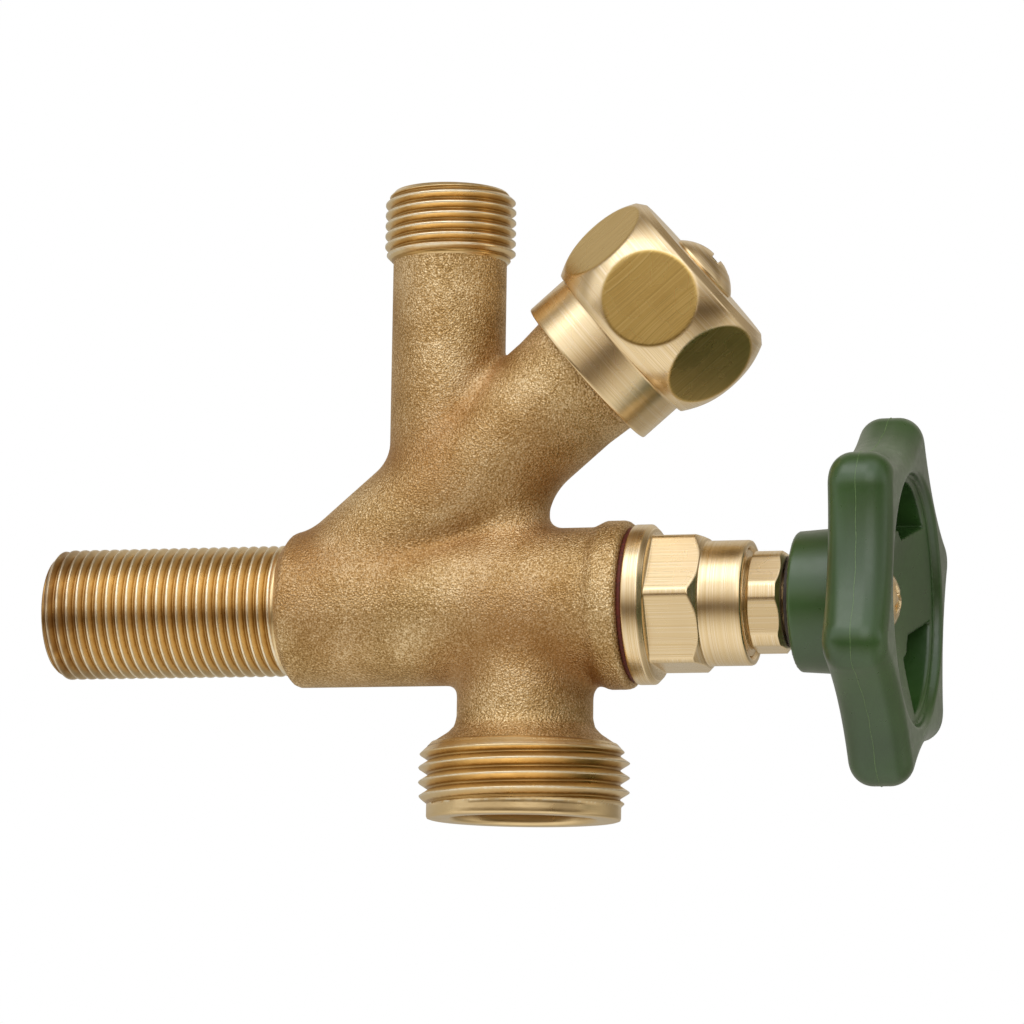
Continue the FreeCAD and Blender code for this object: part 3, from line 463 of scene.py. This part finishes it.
CAST_OUTSIDE = {
    "main": outline_points([
        (0, SHANK_END), (8.3, SHANK_END, 0.2), (9.75, SHANK_END + 0.95, 0.7), (9.75, 70.9, 1.2),
        (10.5, 72.5, 0.9), (10.5, TAP_JOINT, 0.8), (0, TAP_JOINT)], 2.0),
    "branch": outline_points([
        (0, 0), (8.4, 0, 0), (8.4, 41.5, 2.0), (8.75, 45.6, 0.4), (8.75, 49.5, 0.3), (0, 49.5)], 3.0),
    "mixer": outline_points([(0, 13.9), (7.2, 13.9, 0), (7.2, 44.8, 0), (0, 44.8)], 5.0),
    "passage": outline_points([(0, 0), (5.0, 0, 0), (5.0, 20.88, 0), (0, 20.88)], 5.0),
    "outlet": outline_points([
        (0, 0), (8.5, 0, 0), (8.5, 15.2, 2.4), (12.1, 17.6, 0.2), (11.6, 18.4, 0.1), (0, 18.4)], 2.0),
}
# Softness of the rounded corner where each limb leaves the body
ROUNDED_LIMBS = (("branch", 1.7), ("passage", 2.6), ("mixer", 1.7), ("outlet", 2.0))
# The painted shade of a hollow reaches this many times further than its rounding
SHADE_REACH = 3
CASTING_CELL = 0.42
WATERWAYS = [
    ("main", [(0, 26.0), (5.0, 26.0), (5.0, 37.35), (0, 37.35)]),
    ("main", [(0, 56.7), (3.7, 56.7), (3.7, 66), (4.8, 66), (4.8, 64.4), (7.1, 64.4), (7.1, 70.3),
              (7.6, 70.3), (7.6, 76.5), (0, 76.5)]),
    ("branch", [(0, 0), (4.2, 0), (4.2, 11), (5.3, 11), (5.3, 10.1), (6.5, 10.1), (6.5, 41.1),
                (7.0, 41.1), (7.0, 50.5), (0, 50.5)]),
    ("mixer", [(0, 13.9), (5.1, 13.9), (5.1, 46.0), (0, 46.0)]),
    ("passage", [(0, 0), (2.6, 0), (2.6, 20.88), (0, 20.88)]),
    ("outlet", [(0, 5.7), (6.2, 5.7), (6.2, 15.15), (9.1, 17.15), (9.1, 19.5), (0, 19.5)]),
]


def about(axis, points):
    """Reach from an axis and place along it, for every point."""
    back = np.array(AXES[axis].inverted())
    local = points @ back[:3, :3].T + back[:3, 3]
    return np.hypot(local[:, 0], local[:, 1]).astype(np.float32), local[:, 2].astype(np.float32)


def casting_outside(points):
    """Distance from the casting's outside, and how deep in a rounded hollow a point lies."""
    whole = outline_distance(CAST_OUTSIDE["main"], *about("main", points))
    painted_shade_hollow = np.zeros_like(whole)
    for tube, soft in ROUNDED_LIMBS:
        limb = outline_distance(CAST_OUTSIDE[tube], *about(tube, points))
        painted_shade_hollow = np.maximum(painted_shade_hollow, blend(whole, limb, SHADE_REACH * soft)[1])
        whole, _ = blend(whole, limb, soft)
    return whole, painted_shade_hollow


def casting(points):
    """Distance from the casting with its waterways bored out."""
    whole, _ = casting_outside(points)
    for axis, outline in WATERWAYS:
        whole = np.maximum(whole, -outline_distance(np.array(outline, float), *about(axis, points)))
    return whole


def make_casting():
    points, faces = skin(casting, (28.0, -11.5, -19.5), (80.5, 11.5, 46.0), CASTING_CELL)
    # How deep a point lies in a rounded hollow masks the painted shade of the cast brass
    _, painted_shade_hollow = casting_outside(points)
    piece = make_piece("casting_skin", points, faces, None, CAST, {"painted_shade_hollow": painted_shade_hollow})
    stands(piece, "casting", "cast_brass", "valve_body")


# Threads, cut by one tree of nodes: the rows of its grid climb with the helix

# Depth of tone on the turned ends beside a thread, and the thin oxide of a thread that was always covered
TURNED_TONE = 0.35
LIGHT_OXIDE = 0.12


def thread_tree():
    tree = bpy.data.node_groups.new("cut_thread", "GeometryNodeTree")
    tree.is_modifier = True
    for name, kind in (("Rows", "Int"), ("Columns", "Int"), ("Turns", "Float"), ("Crest Radius", "Float"),
                       ("Depth", "Float"), ("Pitch", "Float"), ("Start", "Float"), ("End", "Float"),
                       ("Start Radius", "Float"), ("End Radius", "Float"), ("Crest Flat", "Float"),
                       ("Run Out", "Float"),
                       ("Material", "Material")):
        tree.interface.new_socket(name, in_out="INPUT", socket_type=f"NodeSocket{kind}")
    tree.interface.new_socket("Geometry", in_out="OUTPUT", socket_type="NodeSocketGeometry")
    size = add(tree, "NodeGroupInput").outputs
    grid = add(tree, "GeometryNodeMeshGrid", {"Size X": 1.0, "Size Y": 1.0, "Vertices X": size["Columns"],
                                              "Vertices Y": size["Rows"]})
    spot = add(tree, "ShaderNodeSeparateXYZ", {0: add(tree, "GeometryNodeInputPosition")})
    part = add(tree, "ShaderNodeMath", {0: spot.outputs["X"], 1: 0.5}, operation="ADD")
    angle = add(tree, "ShaderNodeMath", {0: part, 1: math.tau}, operation="MULTIPLY")
    row = add(tree, "ShaderNodeMath", {0: spot.outputs["Y"], 1: 0.5}, operation="ADD")
    turns = add(tree, "ShaderNodeMath", {0: row, 1: size["Turns"], 2: part}, operation="MULTIPLY_ADD")
    turns = add(tree, "ShaderNodeMath", {0: turns, 1: 1.0}, operation="SUBTRACT")
    climb = add(tree, "ShaderNodeMath", {0: turns, 1: size["Pitch"], 2: size["Start"]},
                operation="MULTIPLY_ADD")
    along = add(tree, "ShaderNodeClamp", {"Value": climb, "Min": size["Start"], "Max": size["End"]})
    # Where a point lies between two crests, and how deep the die has cut there
    lead = add(tree, "ShaderNodeMath", {0: along, 1: size["Start"]}, operation="SUBTRACT")
    phase = add(tree, "ShaderNodeMath", {0: lead, 1: size["Pitch"]}, operation="DIVIDE")
    phase = add(tree, "ShaderNodeMath", {0: phase, 1: part}, operation="SUBTRACT")
    phase = add(tree, "ShaderNodeMath", {0: phase}, operation="FRACT")
    phase = add(tree, "ShaderNodeMath", {0: phase, 1: 2.0, 2: -1.0}, operation="MULTIPLY_ADD")
    phase = add(tree, "ShaderNodeMath", {0: phase}, operation="ABSOLUTE")
    flank_end = add(tree, "ShaderNodeMath", {0: 1.0, 1: size["Crest Flat"]}, operation="SUBTRACT")
    groove = add(tree, "ShaderNodeMapRange", {"Value": phase, "From Min": 0.12, "From Max": flank_end,
                                              "To Min": 1.0, "To Max": 0.0})
    left = add(tree, "ShaderNodeMath", {0: size["End"], 1: along}, operation="SUBTRACT")
    run_out = add(tree, "ShaderNodeMath", {0: left, 1: size["Run Out"]}, operation="DIVIDE", use_clamp=True)
    groove = add(tree, "ShaderNodeMath", {0: groove, 1: run_out}, operation="MULTIPLY")
    cut = add(tree, "ShaderNodeMath", {0: groove, 1: size["Depth"]}, operation="MULTIPLY")
    reach = add(tree, "ShaderNodeMath", {0: size["Crest Radius"], 1: cut}, operation="SUBTRACT")
    near_start = add(tree, "ShaderNodeMath", {0: size["Start Radius"], 1: lead}, operation="ADD")
    near_end = add(tree, "ShaderNodeMath", {0: size["End Radius"], 1: left}, operation="ADD")
    reach = add(tree, "ShaderNodeMath", {0: reach, 1: near_start, 2: 0.2}, operation="SMOOTH_MIN")
    reach = add(tree, "ShaderNodeMath", {0: reach, 1: near_end, 2: 0.3}, operation="SMOOTH_MIN")
    cosine = add(tree, "ShaderNodeMath", {0: angle}, operation="COSINE")
    sine = add(tree, "ShaderNodeMath", {0: angle}, operation="SINE")
    x = add(tree, "ShaderNodeMath", {0: reach, 1: cosine}, operation="MULTIPLY")
    y = add(tree, "ShaderNodeMath", {0: reach, 1: sine}, operation="MULTIPLY")
    place = add(tree, "ShaderNodeCombineXYZ", {"X": x, "Y": y, "Z": along})
    stored = add(tree, "GeometryNodeStoreNamedAttribute",
                 {"Geometry": grid.outputs["Mesh"], "Name": "groove", "Value": groove}, data_type="FLOAT",
                 domain="POINT")
    moved = add(tree, "GeometryNodeSetPosition", {"Geometry": stored, "Position": place})
    welded = add(tree, "GeometryNodeMergeByDistance", {"Geometry": moved, "Distance": 1e-4})
    real = add(tree, "GeometryNodeRealizeInstances", {"Geometry": welded})
    finished = add(tree, "GeometryNodeSetMaterial", {"Geometry": real, "Material": size["Material"]})
    add(tree, "NodeGroupOutput", {"Geometry": finished})
    return tree


def run_tree(tree, name, values):
    """The plain mesh that a tree of nodes makes from named values, in the tree's own units."""
    holder = bpy.data.objects.new(name, bpy.data.meshes.new(name))
    bpy.context.scene.collection.objects.link(holder)
    modifier = holder.modifiers.new("made", "NODES")
    modifier.node_group = tree
    for item in tree.interface.items_tree:
        if item.item_type == "SOCKET" and item.in_out == "INPUT":
            modifier[item.identifier] = values[item.name]
    seen = holder.evaluated_get(bpy.context.evaluated_depsgraph_get())
    mesh = bpy.data.meshes.new_from_object(seen)
    holder.modifiers.remove(modifier)
    bpy.data.objects.remove(holder)
    return mesh


def make_thread(name, axis, size, start, end, start_radius, end_radius, rest, columns, run_out=0.02,
                oxide=None):
    """A threaded end: the helix from the tree, closed by the lathe outline from its end to its start.
    The groove grows shallow over run_out, and oxide(points) gives how browned the thread is."""
    rows_per_turn = 18
    turns = math.ceil((end - start) / size["Pitch"]) + 2
    values = {
        **size, "Rows": turns * rows_per_turn + 1, "Columns": columns + 1, "Turns": float(turns),
        "Start": start, "End": end, "Start Radius": start_radius, "End Radius": end_radius,
        "Run Out": run_out, "Material": THREAD,
    }
    mesh = run_tree(THREAD_TREE, name, values)
    band = np.zeros(len(mesh.vertices) * 3)
    mesh.vertices.foreach_get("co", band)
    band = band.reshape(-1, 3)
    groove = np.zeros(len(band))
    mesh.attributes["groove"].data.foreach_get("value", groove)
    faces = [list(face.vertices) for face in mesh.polygons]
    bpy.data.meshes.remove(mesh)
    outline = outline_points([(end_radius, end, 0), *rest, (start_radius, start, 0)], 0.6)
    stop = int(np.argmin(np.hypot(outline[:, 0] - start_radius, outline[:, 1] - start)))
    outline = outline[:stop + 1]
    angles = np.arange(columns) * 2 * np.pi / columns
    rings = np.stack([
        np.outer(outline[:, 0], np.cos(angles)), np.outer(outline[:, 0], np.sin(angles)),
        np.repeat(outline[:, 1:], columns, axis=1)], -1).reshape(-1, 3)
    number = np.arange(len(rings)).reshape(len(outline), columns) + len(band)
    lower, upper = number[:-1], number[1:]
    points = np.concatenate([band, rings])
    marks = {"groove": np.concatenate([groove, np.full(len(rings), TURNED_TONE)]),
             "oxide": oxide(points) if oxide else np.full(len(points), LIGHT_OXIDE)}
    piece = make_piece(name, points, faces + band_faces(lower, upper), axis, THREAD, marks)
    stands(piece, "casting", "machined_brass", "valve_body")


def shank_oxide(points):
    """The shank is browned at its open end, and the brown fades within a centimetre."""
    return np.clip(1.0 - points[:, 2] / 10, LIGHT_OXIDE, 1)


THREAD_TREE = thread_tree()
make_casting()
make_thread("inlet_thread", "main", THREAD_3_8, 0.0, SHANK_END + 0.3, 7.35, 7.9,
            [(7.6, SHANK_END + 1.5, 0), (5.0, SHANK_END + 1.5, 0), (5.0, 0.0)], 168,
            run_out=THREAD_3_8["Pitch"], oxide=shank_oxide)
make_thread("mixer_thread", "mixer", THREAD_3_8, 44.0, 52.85, 7.2, 7.4,
            [(7.2, 53.1, 0.1), (5.6, 53.1, 0.2), (5.1, 52.5, 0), (5.1, 43.0, 0), (6.9, 43.0, 0)], 168)
make_thread("outlet_thread", "outlet", THREAD_3_4, 17.7, 24.9, 12.1, 12.1,
            [(12.1, 26.65, 0.35), (9.1, 26.65, 0.5), (9.1, 17.15, 0), (11.6, 17.15, 0)], 224)


# Tap on the main axis: flange, hexagon and nose of the bonnet, gland nut, spindle and its ring

def make_tap_bonnet():
    corners = [
        (5.9, 70.3), (7.3, 70.3), (7.6, 70.6), (7.6, 76.1), (9.95, 76.1, 0.2), (9.95, 78.1, 0.15),
        (9.35, 78.7, 0.1), (9.03, 78.7), (9.03, 84.2, 0), (8.0, 85.2, 0), (7.75, 85.2, 0.1),
        (7.75, 90.6, 0.8), (7.05, 90.6, 0.1), (6.6, 89.9, 0), (6.6, 88.5), (5.9, 88.5), (5.9, 85.0),
        (4.75, 85.0), (4.75, 76.5), (5.9, 76.5),
    ]
    piece = turned("tap_bonnet_hex", "main", corners, columns=480, step=0.6, fine=(7.9, 0.16),
                   flats=(16.0, BONNET_TURN, 78.7, 85.2, 9.03))
    stands(piece, "casting", "machined_brass", "tap_bonnet")


def make_tap_gland_nut():
    corners = [
        (4.1, 88.5), (6.6, 88.5), (6.6, 90.3, 0.1), (5.7, 90.3, 0.1), (5.7, 90.9), (6.42, 91.2, 0.1),
        (6.42, 94.6, 0), (5.7, 95.2, 0.1), (4.1, 95.2),
    ]
    piece = turned("tap_gland_nut_hex", "main", corners, columns=432, step=0.14,
                   flats=(12.0, GLAND_NUT_TURN, 90.9, 95.2, 6.42))
    stands(piece, "casting", "machined_brass", "tap_gland_nut")


def make_tap_spindle():
    corners = [
        (0, 70.0), (2.6, 70.0), (2.6, 71.5), (1.9, 71.5), (1.9, 73.4), (3.4, 73.4), (3.4, 73.6, 0),
        (4.7, 74.1, 0), (4.7, 80.0), (4.0, 80.5), (4.0, HUB_FACE), (2.8, HUB_FACE, 0.1), (2.8, 105.0),
        (0, 105.0),
    ]
    piece = turned("tap_spindle_turned", "main", corners)
    stands(piece, "tap_grip", "machined_brass", "tap_spindle")


def make_spindle_ring():
    corners = [(4.0, 95.45), (5.85, 95.45, 0.3), (5.85, 96.15, 0.3), (4.0, 96.15)]
    piece = turned("spindle_ring_rubber", "main", corners, material=RUBBER, step=0.15)
    stands(piece, "tap_grip", "ring_rubber", "spindle_ring")


def make_bonnet_gasket():
    corners = [(7.6, TAP_JOINT), (9.65, TAP_JOINT, 0.2), (9.65, 76.1, 0.2), (7.6, 76.1)]
    piece = turned("tap_bonnet_gasket_fibre", "main", corners, material=FIBRE, step=0.15)
    stands(piece, "casting", "gasket_fibre", "tap_bonnet_gasket")


# Screws with a cross recess

RECESS_WIDTH = 1.15
RECESS_DEPTH = 1.2
SCREW_RADIUS = 2.0
SCREW_LENGTH = 7.0
HEAD_RIM = 0.35


def cross_recess(x, y, arm):
    """How deep the driver's cross is at a point of the head."""
    bars = []
    for long_way, short_way in ((x, y), (y, x)):
        walls = np.clip((RECESS_WIDTH / 2 - np.abs(short_way)) / EDGE_SOFT + 0.5, 0, 1)
        ends = np.clip((arm - np.abs(long_way)) / 0.45, 0, 1)
        bars.append(walls * ends ** 0.7)
    return RECESS_DEPTH * np.maximum(*bars)


def make_screw(name, axis, body, node, seat, head, height, turn):
    """A screw whose domed head of a radius and height stands on its seat, its cross turned by an angle."""
    rise = height - HEAD_RIM
    dome = (head ** 2 + rise ** 2) / 2 / rise
    crown = arc(seat + height - dome, dome, seat + HEAD_RIM, seat + height - 1e-6, 12)
    crown[-1] = (0, seat + height)
    corners = [(0, seat - SCREW_LENGTH), (SCREW_RADIUS, seat - SCREW_LENGTH), (SCREW_RADIUS, seat),
               (head, seat, 0.08), *crown]
    cosine, sine = math.cos(turn), math.sin(turn)

    def depth(x, y):
        return cross_recess(x * cosine + y * sine, y * cosine - x * sine, 0.55 * head)

    piece = turned(name, axis, corners, columns=240, step=0.1, sink=(seat + HEAD_RIM - 0.01, depth))
    stands(piece, body, "machined_brass", node)


# Stop valve's cap: a ball-turned head whose six milled flats leave round facets

def make_stop_cap():
    ball = arc(57.8, 13.3, 50.9, 63.9, 90)
    corners = [
        (9.75, 45.1), (10.7, 45.1, 0.25), (10.7, 50.9, 0.1), *ball, (10.78, 64.7, 0.1), (2.15, 64.7),
        (2.15, 58.5), (9.75, 58.5),
    ]
    # Its milled flats take the darker ramp of painted shade, as if they reflected darker surroundings
    piece = turned("stop_cap_head", "branch", corners, columns=450, step=0.6, fine=(10.6, 0.19),
                   flats=(23.8, CAP_TURN, 50.9, 64.7, 13.4), painted_flat_shade=1.0)
    stands(piece, "stop_grip", "machined_brass", "stop_cap")


# Handwheel: a lobed, rounded rim on a spoked web, and the mould's parting line round it

LOBE_RADIUS = 4.0
LOBE_CENTRE = 23.2 - LOBE_RADIUS
VALLEY = 19.2
HALF_LOBE = math.pi / 6
HOLLOW_RADIUS = (
    (LOBE_CENTRE ** 2 + VALLEY ** 2 - 2 * LOBE_CENTRE * VALLEY * math.cos(HALF_LOBE) - LOBE_RADIUS ** 2)
    / 2 / (LOBE_CENTRE * math.cos(HALF_LOBE) + LOBE_RADIUS - VALLEY)
)
RIM_MIDDLE = 107.25
RIM_HALF_DEPTH = 3.92
RIM_ROUNDING = 2.95
# The real rim stands slightly askew on its hub
RIM_SLOPE = math.tan(math.radians(1.2))
SPINDLE_SQUARE = 5.7
SCREW_HOLE = 2.15
WINDOW_OUTSIDE = 14.3
WINDOW_INSIDE = 8.6
SPOKE_HALF = 6.1
WEB_BACK = 105.0
WHEEL_CELL = 0.3
WHEEL_FRONT_HOLLOW = np.array([
    (0, 107.3), (4.4, 107.3), (14.7, 110.1), (15.3, 110.1), (15.7, 112.0), (0, 112.0),
])
WHEEL_BACK_HOLLOW = np.array([(9.2, 102.0), (15.2, 102.0), (15.2, 105.6), (9.2, 104.1)])
WHEEL_HUB = np.array([
    (0, HUB_FACE), (8.3, HUB_FACE), (8.65, HUB_FACE + 0.35), (9.2, WEB_BACK), (0, WEB_BACK),
])


def lobed(x, y):
    """Distance from the lobed outline of the rim, negative inside it."""
    angle = np.abs(np.mod(np.arctan2(y, x) - WHEEL_TURN + HALF_LOBE, 2 * HALF_LOBE) - HALF_LOBE)
    reach = np.hypot(x, y)
    px, py = reach * np.cos(angle), reach * np.sin(angle)
    hx = (VALLEY + HOLLOW_RADIUS) * math.cos(HALF_LOBE)
    hy = (VALLEY + HOLLOW_RADIUS) * math.sin(HALF_LOBE)
    to_lobe = np.hypot(px - LOBE_CENTRE, py) - LOBE_RADIUS
    to_hollow = HOLLOW_RADIUS - np.hypot(px - hx, py - hy)
    beside = (LOBE_CENTRE - hx) * (py - hy) + hy * (px - hx)
    return np.where(beside > 0, to_lobe, to_hollow)


def wheel(points):
    """Distance from the handwheel, about its own Z."""
    x, y, z = points.T
    reach, angle = np.hypot(x, y), np.arctan2(y, x)
    askew = z - RIM_SLOPE * y
    side = lobed(x, y) + RIM_ROUNDING
    face = np.abs(askew - RIM_MIDDLE) - RIM_HALF_DEPTH + RIM_ROUNDING
    corner = np.hypot(np.maximum(side, 0), np.maximum(face, 0))
    whole = np.minimum(np.maximum(side, face), 0) + corner - RIM_ROUNDING
    whole = carve(whole, outline_distance(WHEEL_FRONT_HOLLOW, reach, askew), 0.5)
    whole = carve(whole, outline_distance(WHEEL_BACK_HOLLOW, reach, askew), 0.4)
    whole, _ = blend(whole, outline_distance(WHEEL_HUB, reach, z), 0.8)
    off = np.mod(angle - WHEEL_TURN + math.pi / 3, math.tau / 3) - math.pi / 3
    lateral = np.abs(reach * np.sin(off))
    # The windows' inner edges are ragged with moulding flash
    ragged = WINDOW_INSIDE + 0.16 * np.sin(9 * angle) + 0.1 * np.sin(23 * angle + 1.0)
    window = np.maximum.reduce([reach - WINDOW_OUTSIDE, ragged - reach, SPOKE_HALF - lateral, WEB_BACK - z])
    whole = carve(whole, window, 0.3)
    socket = np.maximum(np.maximum(np.abs(x), np.abs(y)) - SPINDLE_SQUARE / 2, z - WEB_BACK - 0.3)
    whole = np.maximum(whole, -socket)
    return np.maximum(whole, SCREW_HOLE - reach)


def carve(whole, tool, soft):
    """Takes a shape away and rounds the edge that this leaves."""
    return -blend(-whole, tool, soft)[0]


def make_handwheel():
    points, faces = skin(wheel, (-24.4, -24.4, 95.8), (24.4, 24.4, 112.2), WHEEL_CELL)
    piece = make_piece("handwheel_moulding", points, faces, "main", GREEN)
    stands(piece, "tap_grip", "wheel_plastic", "handwheel")


def make_parting_flash():
    """The mould's parting line: a low, slightly wavering ridge swept round the rim at mid-depth."""
    columns = 900
    profile = [(-0.3, -0.16), (0.07, 0.0), (-0.3, 0.16)]
    angles = np.linspace(0, math.tau, columns, endpoint=False)
    reach = np.full(columns, LOBE_CENTRE)
    for _ in range(20):
        reach = reach - lobed(reach * np.cos(angles), reach * np.sin(angles))
    waver = 0.05 * np.sin(7 * angles) + 0.04 * np.sin(31 * angles + 2)
    rings = np.stack([
        np.stack([(reach + out) * np.cos(angles), (reach + out) * np.sin(angles),
                  RIM_MIDDLE + rise + waver + RIM_SLOPE * (reach + out) * np.sin(angles)], -1)
        for out, rise in profile])
    number = np.arange(len(profile) * columns).reshape(len(profile), columns)
    faces = band_faces(number, np.roll(number, -1, axis=0))
    flash = make_piece("handwheel_parting_flash", rings.reshape(-1, 3), faces, "main", FLASH)
    stands(flash, "tap_grip", "wheel_plastic")


make_tap_bonnet()
make_tap_gland_nut()
make_tap_spindle()
make_spindle_ring()
make_bonnet_gasket()
make_stop_cap()
make_handwheel()
make_parting_flash()
make_screw("handwheel_screw_head", "main", "tap_grip", "handwheel_screw", 107.3, 3.65, 1.7,
           math.radians(45))
make_screw("stop_cap_screw_head", "branch", "stop_grip", "stop_cap_screw", 64.7, 4.65, 2.4,
           math.radians(20))

# The pieces inside keep their solids and get the finish of what they are made of
FINISHES = {"gasket_fibre": FIBRE, "packing": PACKING, "seat_rubber": RUBBER, "ring_rubber": RUBBER,
            "cast_brass": CAST, "wheel_plastic": GREEN, "machined_brass": INNER}
for subpart in frame["record"]["subparts"]:
    node = NODES[subpart["node"]]
    node.data.materials.clear()
    node.data.materials.append(FINISHES[subpart["material_slot"]])


# Studio: the camera stands low and to the right, as in the photograph, and the floor lies below its view

CAMERA_PLACE = (0.19864, -0.51494, -0.06579)
CAMERA_RIGHT = (0.96592, 0.25841, 0.01468)
CAMERA_UP = (0.02328, -0.14322, 0.98942)
CAMERA_BACK = (0.25778, -0.95536, -0.14436)
SENSOR_WIDTH = 36.0
PICTURE_WIDTH = 1024
FOCAL_LENGTH = 4300
FLOOR_HALF = 3.0
FLOOR_LEVEL = -0.13


def make_camera():
    """Focal length and picture width are both in pixels of the photograph."""
    camera = bpy.data.objects.new("camera", bpy.data.cameras.new("camera"))
    camera.data.sensor_width = SENSOR_WIDTH
    camera.data.lens = SENSOR_WIDTH * FOCAL_LENGTH / PICTURE_WIDTH
    camera.data.clip_start = 0.01
    turn = Matrix((CAMERA_RIGHT, CAMERA_UP, CAMERA_BACK)).transposed().to_4x4()
    camera.matrix_world = Matrix.Translation(CAMERA_PLACE) @ turn
    bpy.context.scene.collection.objects.link(camera)
    bpy.context.scene.camera = camera


def make_floor():
    mesh = bpy.data.meshes.new("floor")
    corners = [(x * FLOOR_HALF, y * FLOOR_HALF, FLOOR_LEVEL) for x, y in ((-1, -1), (1, -1), (1, 1), (-1, 1))]
    mesh.from_pydata(corners, [], [(0, 1, 2, 3)])
    material, tree, shader, place = new_material("pale_studio_floor", Roughness=0.9)
    shade = add(tree, "ShaderNodeTexNoise", {"Vector": place, "Scale": 6})
    tree.links.new(colour_steps(tree, shade.outputs["Fac"], [(0.3, "#ececea"), (0.7, "#f2f2f0")]),
                   shader.inputs["Base Color"])
    mesh.materials.append(material)
    floor = bpy.data.objects.new("floor", mesh)
    bpy.context.scene.collection.objects.link(floor)
    floor.visible_glossy = False


def make_lamp(name, place, aim, size, power):
    """A white rectangular lamp that faces its aim."""
    lamp = bpy.data.objects.new(name, bpy.data.lights.new(name, "AREA"))
    lamp.data.shape = "RECTANGLE"
    lamp.data.size, lamp.data.size_y = size
    lamp.data.energy = power
    way = Vector(aim) - Vector(place)
    lamp.matrix_world = Matrix.Translation(place) @ way.to_track_quat("-Z", "Y").to_matrix().to_4x4()
    bpy.context.scene.collection.objects.link(lamp)


# Brightness of the light tent round the object, by degrees round the camera's level axis
TENT = [
    (-180, "#b3b0a8"), (-145, "#b8b2a6"), (-118, "#cbc6bb"), (-96, "#e6e1d8"), (-70, "#f2eee6"),
    (-50, "#e2ddd2"), (-36, "#c4bbab"), (-25, "#8a7a62"), (-17, "#4a3b28"), (-9, "#4a3b28"),
    (-2, "#a8977e"), (9, "#d6cdbe"), (22, "#fbfaf8"), (72, "#ffffff"), (84, "#c8c0b2"),
    (96, "#8f8370"), (110, "#857a68"), (128, "#b9b1a4"), (142, "#cbc5ba"), (160, "#c0bab0"),
    (180, "#b3b0a8"),
]
# The tent's shade towards the right, by how far a way points there
FLAG = [(0.0, "#ffffff"), (0.42, "#ffffff"), (0.62, "#c6c2bc"), (0.85, "#cecac4"), (0.97, "#f4f2ee")]


TENT_STRENGTH = 1.08
# Level ways from the object towards the camera and towards the picture's right
TOWARDS_CAMERA = (0.2605, -0.9655, 0.0)
TOWARDS_RIGHT = (0.9655, 0.2605, 0.0)


def make_world():
    """White for the camera. Metal sees a bright tent with a dark slot at the camera's level."""
    world = bpy.data.worlds.new("studio_tent")
    bpy.context.scene.world = world
    world.use_nodes = True
    tree = world.node_tree
    tree.nodes.clear()
    way = add(tree, "ShaderNodeTexCoord").outputs["Generated"]
    # Angle round the camera's level axis: 0 towards the camera, a quarter turn overhead, half a turn behind
    front = add(tree, "ShaderNodeVectorMath", {0: way, 1: TOWARDS_CAMERA}, operation="DOT_PRODUCT")
    height = add(tree, "ShaderNodeSeparateXYZ", {0: way}).outputs["Z"]
    angle = add(tree, "ShaderNodeMath", {0: height, 1: front.outputs["Value"]}, operation="ARCTAN2")
    share = add(tree, "ShaderNodeMath", {0: angle, 1: 1 / math.tau, 2: 0.5}, operation="MULTIPLY_ADD")
    tent = colour_steps(tree, share, [((angle + 180) / 360, code) for angle, code in TENT])
    # A pale grey flag stands to the right, behind the object's shoulder
    side = add(tree, "ShaderNodeVectorMath", {0: way, 1: TOWARDS_RIGHT}, operation="DOT_PRODUCT")
    flag = colour_steps(tree, side.outputs["Value"], FLAG)
    tent = add(tree, "ShaderNodeMix", {"Factor": 1.0, "A": tent, "B": flag}, data_type="RGBA",
               blend_type="MULTIPLY").outputs[2]
    seen = add(tree, "ShaderNodeBackground", {"Color": (1, 1, 1, 1), "Strength": 1.0})
    lit = add(tree, "ShaderNodeBackground", {"Color": tent, "Strength": TENT_STRENGTH})
    path = add(tree, "ShaderNodeLightPath").outputs["Is Camera Ray"]
    both = add(tree, "ShaderNodeMixShader", {0: path, 1: lit.outputs[0], 2: seen.outputs[0]})
    add(tree, "ShaderNodeOutputWorld", {"Surface": both.outputs[0]})


make_camera()
make_floor()
make_lamp("key_softbox", (-0.15, -0.45, 0.6), (0.05, 0, 0.01), (0.6, 0.4), 0.75)
make_lamp("fill_softbox", (0.3, -0.7, 0.3), (0.06, 0, 0.01), (0.5, 0.5), 0.5)
make_world()
bpy.context.scene.view_settings.view_transform = "Standard"
